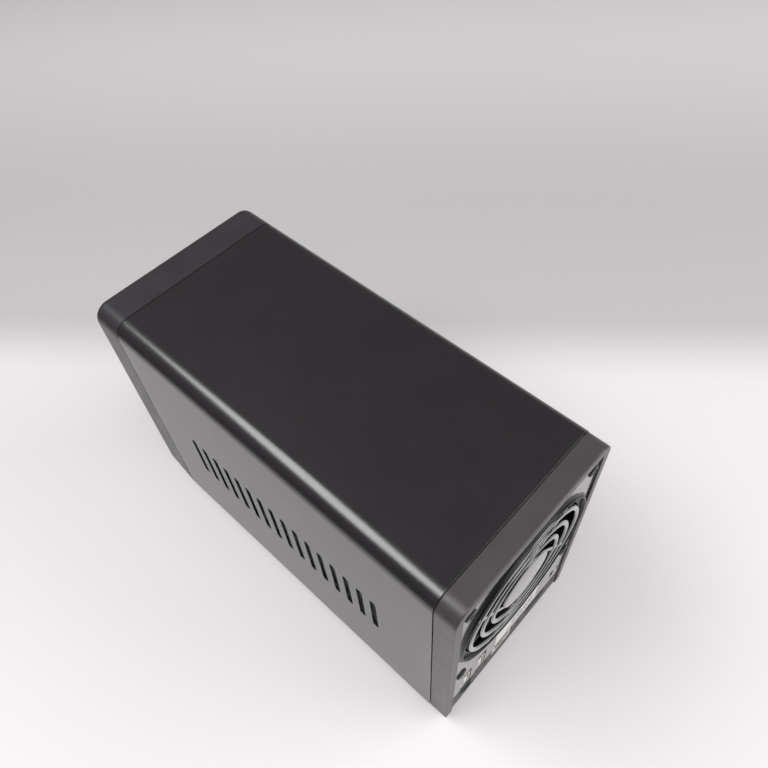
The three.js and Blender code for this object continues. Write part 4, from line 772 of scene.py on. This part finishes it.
stand_for(sleeve(), "outer_sleeve")
stand_for(bezel(), "front_bezel")
stand_for(rear_frame(), "rear_frame", look="frame_lit_plastic")
stand_for(rear_panel("rear_sheet", SKIRT_TOP, TOP), "rear_panel")
stand_for(rear_panel("rear_skirt", 0, SKIRT_TOP), "rear_panel", look="skirt_coat")


# ---- fan and guard ---------------------------------------------------------------------------------------
GUARD_TOP = REAR
GUARD_THICKNESS = 2.2
GUARD_RINGS = (23.2, 30.7, 38.6)
GUARD_RING_HALF = 1.4
GUARD_DISC_RADIUS = 16
GUARD_BASE_RADIUS = 46.3
GUARD_RIM_RADIUS = 45
GUARD_RIM_WIDTH = 0.8
GUARD_FLANGE = 0.5
GUARD_FLANGE_INNER = 40.9
GUARD_SPOKES = 4
GUARD_SPOKE_WIDTH = 2.2
GUARD_SPOKE_TURN = 0.66
GUARD_SPOKE_OFFSET = 14.8


def rounded_bar(r0, r1, y0, y1, radius):
    """A ring's section with two rounded rear corners."""
    return ([(r0, y0), (r1, y0)] + arc(r1 - radius, y1 - radius, radius, 0, 90, 5)
            + arc(r0 + radius, y1 - radius, radius, 90, 180, 5))


def guard_spoke(index):
    """A bar that leaves the disc along a tangent and ends in the collar."""
    end = GUARD_RIM_RADIUS - GUARD_RIM_WIDTH
    reach = math.sqrt(end ** 2 - GUARD_SPOKE_OFFSET ** 2)
    half = GUARD_SPOKE_WIDTH / 2
    y1 = GUARD_TOP - 0.5
    section = ([(GUARD_SPOKE_OFFSET - half, y1 - 1.7), (GUARD_SPOKE_OFFSET + half, y1 - 1.7)]
               + arc(GUARD_SPOKE_OFFSET + half - 0.5, y1 - 0.5, 0.5, 0, 90, 4)
               + arc(GUARD_SPOKE_OFFSET - half + 0.5, y1 - 0.5, 0.5, 90, 180, 4))
    angle = index * 2 * math.pi / GUARD_SPOKES + GUARD_SPOKE_TURN
    rings = []
    for z in (0, reach):
        rings.append([(x * math.cos(angle) + z * math.sin(angle), y,
                       FAN_Z - x * math.sin(angle) + z * math.cos(angle)) for x, y in section])
    return loft("spoke", rings)


def guard_collar():
    """The guard's raised rim: a foot on the panel, a nearly upright wall and a flange in the hole."""
    flange = PANEL_FRONT + GUARD_FLANGE
    neck = GUARD_HOLE_RADIUS - FIT_GAP
    inner = GUARD_RIM_RADIUS - GUARD_RIM_WIDTH
    collar = turned_y("fan_guard_collar", [
        (GUARD_FLANGE_INNER, PANEL_FRONT), (neck, PANEL_FRONT), (neck, PANEL_REAR),
        (GUARD_BASE_RADIUS, PANEL_REAR), (GUARD_BASE_RADIUS - 0.1, PANEL_REAR + 0.12),
        (GUARD_RIM_RADIUS + 0.35, PANEL_REAR + 0.25), (GUARD_RIM_RADIUS + 0.1, PANEL_REAR + 0.5),
        (GUARD_RIM_RADIUS + 0.02, GUARD_TOP - 0.35), (GUARD_RIM_RADIUS - 0.05, GUARD_TOP - 0.15),
        (GUARD_RIM_RADIUS - 0.25, GUARD_TOP), (inner + 0.15, GUARD_TOP),
        (inner, GUARD_TOP - 0.15), (inner - 0.4, flange), (GUARD_FLANGE_INNER, flange)], 0, FAN_Z, FINE)
    return smooth(collar, 38)


def guard():
    """The guard's disc, its rings and the spokes that join them."""
    base = GUARD_TOP - GUARD_THICKNESS
    crown = GUARD_TOP - 0.1
    disc = turned_y("fan_ring_guard", [(0, base), (GUARD_DISC_RADIUS, base)]
                    + arc(GUARD_DISC_RADIUS - 0.8, crown - 0.8, 0.8, 0, 90, 6) + [(0, crown)], 0, FAN_Z, FINE)
    rings = [turned_y("ring", rounded_bar(r - GUARD_RING_HALF, r + GUARD_RING_HALF, base, crown, 0.9),
                      0, FAN_Z, FINE) for r in GUARD_RINGS]
    spokes = [guard_spoke(i) for i in range(GUARD_SPOKES)]
    boolean(disc, rings + spokes, "UNION")
    return smooth(disc, 38)


SCREW_HEAD_RADIUS = 3.3
SCREW_HEAD_HEIGHT = 0.9
SCREW_SHANK_RADIUS = 1.7
SCREW_SHANK_LENGTH = 8
RECESS_HALF_LENGTH = 1.9
RECESS_HALF_WIDTH = 0.4
RECESS_FLOOR = 0.35
RECESS_TURN = 0.3


def fan_screw(index, x, z):
    """A pan-head screw with a cross recess."""
    r = SCREW_HEAD_RADIUS
    crown = PANEL_REAR + SCREW_HEAD_HEIGHT
    profile = [(0, PANEL_REAR), (r, PANEL_REAR), (r, PANEL_REAR + 0.3), (r - 0.25, PANEL_REAR + 0.6),
               (r - 0.8, crown - 0.08), (r - 1.4, crown), (0, crown)]
    head = turned_y("fan_screw_head_%d" % index, profile, x, z, 48)
    tip = PANEL_FRONT - SCREW_SHANK_LENGTH
    shank = turned_y("shank", [(0, tip), (SCREW_SHANK_RADIUS, tip), (SCREW_SHANK_RADIUS, PANEL_REAR + 0.2),
                               (0, PANEL_REAR + 0.2)], x, z, 24)
    boolean(head, [shank], "UNION")
    bars = []
    u, v = RECESS_HALF_LENGTH, RECESS_HALF_WIDTH
    for turn in (RECESS_TURN, RECESS_TURN + math.pi / 2):
        c, n = math.cos(turn), math.sin(turn)
        outline = [(x + c * a - n * b, z + n * a + c * b) for a, b in ((-u, -v), (u, -v), (u, v), (-u, v))]
        bars.append(prism_y("bar", outline, PANEL_REAR + RECESS_FLOOR, REAR + OVERCUT))
    cut(head, bars)
    return smooth(head, 35)


BLADES = 7
HUB_RADIUS = 19.5
HUB_OVERLAP = 1  # how far a blade's root goes into the hub
BLADE_TIP = 42.0
BLADE_RADIAL_POINTS = 9
BLADE_CHORD_POINTS = 9
BLADE_ROOT_PITCH = 0.74  # the blade's angles are in radians
BLADE_PITCH_DROP = 0.26
BLADE_ROOT_HALF_ANGLE = 0.40
BLADE_HALF_ANGLE_DROP = 0.02
BLADE_SWEEP = 0.30
BLADE_DEPTH_SHARE = 0.8
BLADE_CAMBER = 1.4
BLADE_HALF_THICKNESS = 0.9
BLADE_END_GAP = 0.1


def fan_rotor():
    """Seven swept, curved blades on a round hub with a softened edge."""
    a, b = low("fan_rotor"), high("fan_rotor")
    hub = turned_y("fan_wheel", [(0, a.y), (HUB_RADIUS - 2, a.y), (HUB_RADIUS - 0.6, a.y + 0.6),
                                 (HUB_RADIUS, a.y + 2), (HUB_RADIUS, b.y), (0, b.y)], 0, FAN_Z, FINE)
    middle = (a.y + b.y) / 2
    blades = []
    radial = BLADE_RADIAL_POINTS
    chord = BLADE_CHORD_POINTS
    for k in range(BLADES):
        verts = []
        for side in (1, -1):
            for i in range(radial):
                t = i / (radial - 1)
                r = HUB_RADIUS - HUB_OVERLAP + (BLADE_TIP - HUB_RADIUS + HUB_OVERLAP) * t
                pitch = BLADE_ROOT_PITCH - BLADE_PITCH_DROP * t
                half_angle = BLADE_ROOT_HALF_ANGLE - BLADE_HALF_ANGLE_DROP * t
                sweep = BLADE_SWEEP * t * t
                for j in range(chord):
                    u = 2 * j / (chord - 1) - 1
                    angle = 2 * math.pi * k / BLADES + sweep + u * half_angle
                    camber = BLADE_CAMBER * (1 - u * u)
                    thickness = BLADE_HALF_THICKNESS * math.sqrt(max(0.04, 1 - u * u))
                    rise = u * half_angle * r * math.tan(pitch) * BLADE_DEPTH_SHARE
                    y = middle - rise + camber + side * thickness
                    y = min(max(y, a.y + BLADE_END_GAP), b.y - BLADE_END_GAP)
                    verts.append((r * math.sin(angle), y, FAN_Z + r * math.cos(angle)))
        faces = []
        half = radial * chord
        for i in range(radial - 1):
            for j in range(chord - 1):
                q = i * chord + j
                faces.append([q, q + 1, q + chord + 1, q + chord])
                faces.append([half + q, half + q + chord, half + q + chord + 1, half + q + 1])
        rim = [i * chord for i in range(radial)]
        rim += [(radial - 1) * chord + j for j in range(1, chord)]
        rim += [i * chord + chord - 1 for i in range(radial - 2, -1, -1)]
        rim += range(chord - 2, 0, -1)
        for n, v in enumerate(rim):
            w = rim[(n + 1) % len(rim)]
            faces.append([v, w, w + half, v + half])
        blades.append(make_object("blade", verts, faces))
    boolean(hub, blades, "UNION")
    return smooth(hub, 40)


stand_for(guard(), "fan_guard")
stand_for(guard_collar(), "fan_guard", look="collar_black")
for number, (screw_x, screw_z) in enumerate(SCREW_PLACES, 1):
    stand_for(fan_screw(number, screw_x, screw_z), "fan_screw_%d" % number)
stand_for(fan_rotor(), "fan_rotor")


# ---- sockets, label and their small parts ----------------------------------------------------------------
LAN_REAR = high("lan_jack").y
LAN_CONTACTS = 8
LAN_CONTACT_PITCH = 1.02
LAN_CONTACT_HALF_WIDTH = 0.22
LAN_SPRING_INSET = 0.95
LAN_SPRING_WIDTH = 0.9
LAN_SPRING_HEIGHT = 2.6
LAN_SPRINGS_Z = (18.2, 22.0)
LAN_LIGHT_OFFSET = 5.2
LAN_LIGHT_HALF_WIDTH = 1.5
LAN_LIGHT_BOTTOM = 27.35
LAN_LIGHT_TOP = 28.5
STANDS_PROUD = 0.05
TINY_EDGE = 0.06
USB_CONTACTS = 4
USB_CONTACT_PITCH = 2.3
USB_CONTACT_HALF_WIDTH = 0.5
USB_TONGUE_OFFSET = 0.6
USB_TONGUE_HALF_WIDTH = 1.1
USB_SPRING_OFFSET = 3.2
BAR_LENGTHS = ((9, 5, 12), (14, 7), (6, 11, 4), (12, 9))
BAR_SCALE = 0.8
BAR_SPACE = 1.2
BAR_HEIGHT = 1.0
BAR_ROW = 2.6
BAR_LEFT = 2.5
BAR_BOTTOM = 3.0
BAR_DEPTH = 0.02


def lan_inside():
    """Eight sprung contacts that slope through the network socket's mouth."""
    pieces = []
    for i in range(LAN_CONTACTS):
        x = LAN_X + (i - (LAN_CONTACTS - 1) / 2) * LAN_CONTACT_PITCH
        path = [(LAN_REAR - 12.9, 26.6), (LAN_REAR - 11.5, 26.4), (LAN_REAR - 3.0, 24.2),
                (LAN_REAR - 2.2, 24.3), (LAN_REAR - 2.2, 24.7), (LAN_REAR - 3.2, 24.7),
                (LAN_REAR - 11.3, 26.9), (LAN_REAR - 12.9, 27.1)]
        pieces.append(prism_x("contact", path, x - LAN_CONTACT_HALF_WIDTH, x + LAN_CONTACT_HALF_WIDTH))
    return joined("network_contacts", pieces)


def lan_springs():
    """Pressed grounding springs on the network socket's face, two each side."""
    pieces = []
    a, b = low("lan_jack"), high("lan_jack")
    half = LAN_SPRING_WIDTH / 2
    for x in (a.x + LAN_SPRING_INSET, b.x - LAN_SPRING_INSET):
        for z in LAN_SPRINGS_Z:
            pieces.append(block("spring", x - half, x + half, LAN_REAR - 0.3, LAN_REAR + STANDS_PROUD,
                                z, z + LAN_SPRING_HEIGHT))
    return soften(joined("network_springs", pieces), TINY_EDGE, 2, 30)


def lan_lights():
    """The two light windows above the network socket's mouth."""
    pieces = []
    for side in (-1, 1):
        x = LAN_X + side * LAN_LIGHT_OFFSET
        pieces.append(block("window", x - LAN_LIGHT_HALF_WIDTH, x + LAN_LIGHT_HALF_WIDTH, LAN_REAR - 0.4,
                            LAN_REAR + STANDS_PROUD, LAN_LIGHT_BOTTOM, LAN_LIGHT_TOP))
    return soften(joined("network_windows", pieces), TINY_EDGE, 2, 30)


def usb_contacts(name, x):
    """Four flat contacts on the tongue of an upright socket."""
    a, b = low("rear_usb_tongue_1"), high("rear_usb_tongue_1")
    face = x - USB_TONGUE_OFFSET + USB_TONGUE_HALF_WIDTH
    middle = (a.z + b.z) / 2
    pieces = []
    for i in range(USB_CONTACTS):
        z = middle + (i - (USB_CONTACTS - 1) / 2) * USB_CONTACT_PITCH
        pieces.append(block("contact", face - 0.05, face + 0.06, b.y - 8, b.y - 0.8,
                            z - USB_CONTACT_HALF_WIDTH, z + USB_CONTACT_HALF_WIDTH))
    return joined(name, pieces)


def usb_springs(name, x):
    """The four sprung tabs pressed into the shell's two wide sides."""
    b = high("rear_usb_shell_1")
    a = low("rear_usb_shell_1")
    middle = (a.z + b.z) / 2
    pieces = []
    for side in (-1, 1):
        inner = x + side * (USB_HALF_WIDTH - USB_WALL)
        for z in (middle - USB_SPRING_OFFSET, middle + USB_SPRING_OFFSET):
            path = [(inner, b.y - 8.5), (inner, b.y - 1.6), (inner - side * 0.22, b.y - 2.6),
                    (inner - side * 0.55, b.y - 4.4), (inner - side * 0.22, b.y - 6.4)]
            pieces.append(prism_z("spring", path, z - 1.0, z + 1.0))
    return joined(name, pieces)


def front_usb_contacts():
    """Four flat contacts under the front socket's tongue."""
    a, b = low("front_usb_tongue"), high("front_usb_tongue")
    pieces = []
    for i in range(USB_CONTACTS):
        x = (a.x + b.x) / 2 + (i - (USB_CONTACTS - 1) / 2) * USB_CONTACT_PITCH
        pieces.append(block("contact", x - USB_CONTACT_HALF_WIDTH, x + USB_CONTACT_HALF_WIDTH,
                            a.y + 0.7, a.y + 7, a.z - 0.06, a.z + 0.05))
    return joined("front_usb_contacts", pieces)


def label_bars():
    """Rows of plain bars of unequal length. They say nothing."""
    a, b = low("rear_label"), high("rear_label")
    pieces = []
    for row, lengths in enumerate(BAR_LENGTHS):
        x = a.x + BAR_LEFT
        z = a.z + BAR_BOTTOM + row * BAR_ROW
        for length in lengths:
            end = x + length * BAR_SCALE
            pieces.append(block("bar", x, end, b.y - BAR_DEPTH, b.y + BAR_DEPTH, z, z + BAR_HEIGHT))
            x = end + BAR_SPACE
    return joined("label_bars", pieces)


def inlet_ring():
    """The raised collar round the power inlet's bore."""
    b = high("power_inlet")
    profile = [(3.75, b.y - 0.3), (4.3, b.y - 0.3), (4.3, b.y + 0.12), (4.15, b.y + 0.2), (3.9, b.y + 0.2),
               (3.75, b.y + 0.1)]
    return smooth(turned_y("inlet_ring", profile, INLET_X, INLET_Z, 64), 40)


add_to(lan_inside(), "lan_jack", "socket_metal", "gold_contact")
add_to(lan_springs(), "lan_jack")
add_to(lan_lights(), "lan_jack", "light_pipe")
add_to(label_bars(), "rear_label", look="label_ink")
add_to(inlet_ring(), "power_inlet")
for number, usb_x in enumerate(USB_CENTRES, 1):
    contacts = usb_contacts("rear_usb_contacts_%d" % number, usb_x)
    add_to(contacts, "rear_usb_tongue_%d" % number, "socket_metal", "gold_contact")
    add_to(usb_springs("rear_usb_springs_%d" % number, usb_x), "rear_usb_shell_%d" % number)
add_to(front_usb_contacts(), "front_usb_tongue", "socket_metal", "gold_contact")


# ---- the nodes that keep their CAD shape -----------------------------------------------------------------
def smoothing_nodes():
    """A node group that shades faces smoothly, but keeps edges of over 32 degrees sharp."""
    group = bpy.data.node_groups.new("smooth_by_angle", "GeometryNodeTree")
    group.interface.new_socket("Geometry", in_out="INPUT", socket_type="NodeSocketGeometry")
    group.interface.new_socket("Geometry", in_out="OUTPUT", socket_type="NodeSocketGeometry")
    source = group.nodes.new("NodeGroupInput")
    result = group.nodes.new("NodeGroupOutput")
    angle = group.nodes.new("GeometryNodeInputMeshEdgeAngle")
    compare = group.nodes.new("FunctionNodeCompare")
    compare.data_type = "FLOAT"
    compare.operation = "LESS_EQUAL"
    compare.inputs[1].default_value = math.radians(32)
    faces = group.nodes.new("GeometryNodeSetShadeSmooth")
    edges = group.nodes.new("GeometryNodeSetShadeSmooth")
    edges.domain = "EDGE"
    group.links.new(angle.outputs["Unsigned Angle"], compare.inputs[0])
    group.links.new(source.outputs[0], faces.inputs["Geometry"])
    group.links.new(faces.outputs["Geometry"], edges.inputs["Geometry"])
    group.links.new(compare.outputs["Result"], edges.inputs["Shade Smooth"])
    group.links.new(edges.outputs["Geometry"], result.inputs[0])
    return group


SMOOTHING = smoothing_nodes()
EDGE_WIDTH = {"tray_face_1": 0.35, "tray_face_2": 0.35, "tray_handle_1": 0.5, "tray_handle_2": 0.5,
              "foot_1": 0.3, "foot_2": 0.3, "foot_3": 0.3, "foot_4": 0.3, "power_button": 0.2,
              "copy_button": 0.3, "rear_label": 0.03, "power_inlet": 0.2}
USUAL_EDGE = 0.12


def keep_rest():
    """Gives every CAD node its finish, and rounds the edges of those that show, by modifiers alone."""
    for name, obj in NODES.items():
        obj.data.materials.clear()
        obj.data.materials.append(MATERIALS[SLOT_OF[name]])
        weld_points = obj.modifiers.new("weld", "WELD")
        weld_points.merge_threshold = 0.001 * MM
        flatten = obj.modifiers.new("flatten", "DECIMATE")
        flatten.decimate_type = "DISSOLVE"
        flatten.angle_limit = math.radians(0.5)
        bevel = obj.modifiers.new("bevel", "BEVEL")
        bevel.width = EDGE_WIDTH.get(name, USUAL_EDGE) * MM
        bevel.segments = 2
        bevel.limit_method = "ANGLE"
        bevel.angle_limit = math.radians(35)
        shading = obj.modifiers.new("shading", "NODES")
        shading.node_group = SMOOTHING
        weighted = obj.modifiers.new("weighted", "WEIGHTED_NORMAL")
        weighted.keep_sharp = True


keep_rest()


# ---- stage -----------------------------------------------------------------------------------------------
NEAR_PAPER = (0.745, 0.719, 0.728)
# painted shade: the darker band behind the line where a backdrop would bend up
BEND_SHADE_PAPER = (0.49, 0.475, 0.480)
FAR_PAPER = (0.70, 0.678, 0.684)
# painted dark far out on the right, standing for a dim room that the rounded edge reflects
DIM_ROOM_PAPER = (0.13, 0.126, 0.127)
BEND_DIRECTION = (-0.77, -0.64, 0)
BEND = (0.110, 0.175)  # metres along that direction, and so is RISE
RISE = (0.28, 0.62)
SIDE_EDGE = (0.24, 0.36)  # metres along +X
CAMERA_PLACE = Vector((120.1, 159.7, 410.8))
CAMERA_AZIMUTH = 136.29
CAMERA_ELEVATION = 53.52
CAMERA_ROLL = -4.37
CAMERA_LENS = 33.38
SENSOR_WIDTH = 36


def floor():
    """One wide pale sheet. Behind a soft line across the view, where a backdrop would bend up, it carries a
    band of painted shade; far out on the right it is painted dark, standing for a dim room, so that the
    case's rounded edge has something dark to reflect."""
    obj = block("floor", -4000, 4000, -4000, 4000, -10, 0)
    s = Surface("floor_paper", NEAR_PAPER, 0.6)
    along = s.nodes.new("ShaderNodeVectorMath")
    along.operation = "DOT_PRODUCT"
    along.inputs[1].default_value = BEND_DIRECTION
    s.links.new(s.place, along.inputs[0])
    back = s.soft_step(along.outputs["Value"], *BEND)
    apart = s.nodes.new("ShaderNodeSeparateXYZ")
    s.links.new(s.place, apart.inputs[0])
    aside = s.soft_step(apart.outputs["X"], *SIDE_EDGE)
    beyond = s.mix(s.soft_step(along.outputs["Value"], *RISE), BEND_SHADE_PAPER, FAR_PAPER)
    paper = s.mix(back, NEAR_PAPER, beyond)
    s.links.new(s.mix(aside, paper, DIM_ROOM_PAPER), s.shader.inputs["Base Color"])
    obj.data.materials.append(s.material)


def area_light(name, place, target, size, power):
    data = bpy.data.lights.new(name, "AREA")
    data.shape = "RECTANGLE"
    data.size, data.size_y = size
    data.energy = power
    obj = bpy.data.objects.new(name, data)
    obj.location = place
    obj.rotation_mode = "QUATERNION"
    obj.rotation_quaternion = (Vector(target) - Vector(place)).to_track_quat("-Z", "Y")
    bpy.context.scene.collection.objects.link(obj)


def world():
    made = bpy.data.worlds.new("studio")
    bpy.context.scene.world = made
    made.use_nodes = True
    background = made.node_tree.nodes["Background"]
    background.inputs["Color"].default_value = (1.0, 0.985, 0.99, 1)
    background.inputs["Strength"].default_value = 0.2


def camera():
    """The viewpoint: above and behind the case's right-hand rear edge, looking steeply down."""
    azimuth = math.radians(CAMERA_AZIMUTH)
    elevation = math.radians(CAMERA_ELEVATION)
    roll = math.radians(CAMERA_ROLL)
    back = Vector((math.sin(azimuth) * math.cos(elevation), -math.cos(azimuth) * math.cos(elevation),
                   math.sin(elevation)))
    right = (-back).cross(Vector((0, 0, 1))).normalized()
    up = right.cross(-back)
    across = math.cos(roll) * right + math.sin(roll) * up
    upward = -math.sin(roll) * right + math.cos(roll) * up
    data = bpy.data.cameras.new("camera")
    data.sensor_width = SENSOR_WIDTH
    data.lens = CAMERA_LENS
    data.clip_start = 0.01
    data.clip_end = 20
    obj = bpy.data.objects.new("camera", data)
    turn = Matrix((across, upward, back)).transposed().to_4x4()
    obj.matrix_world = Matrix.Translation(CAMERA_PLACE * MM) @ turn
    bpy.context.scene.collection.objects.link(obj)
    bpy.context.scene.camera = obj


floor()
world()
camera()
area_light("softbox", (0.35, 0.60, 1.50), (0.05, 0.05, 0.0), (1.4, 1.0), 13)
area_light("window", (-0.90, 1.00, 0.95), (-0.05, 0.1, 0.0), (1.2, 0.9), 12.5)
area_light("lamp", (0.44, -0.38, 1.05), (0.02, 0.0, 0.1), (0.8, 0.55), 8.5)
bpy.context.scene.view_settings.view_transform = "Standard"

bpy.context.view_layer.update()
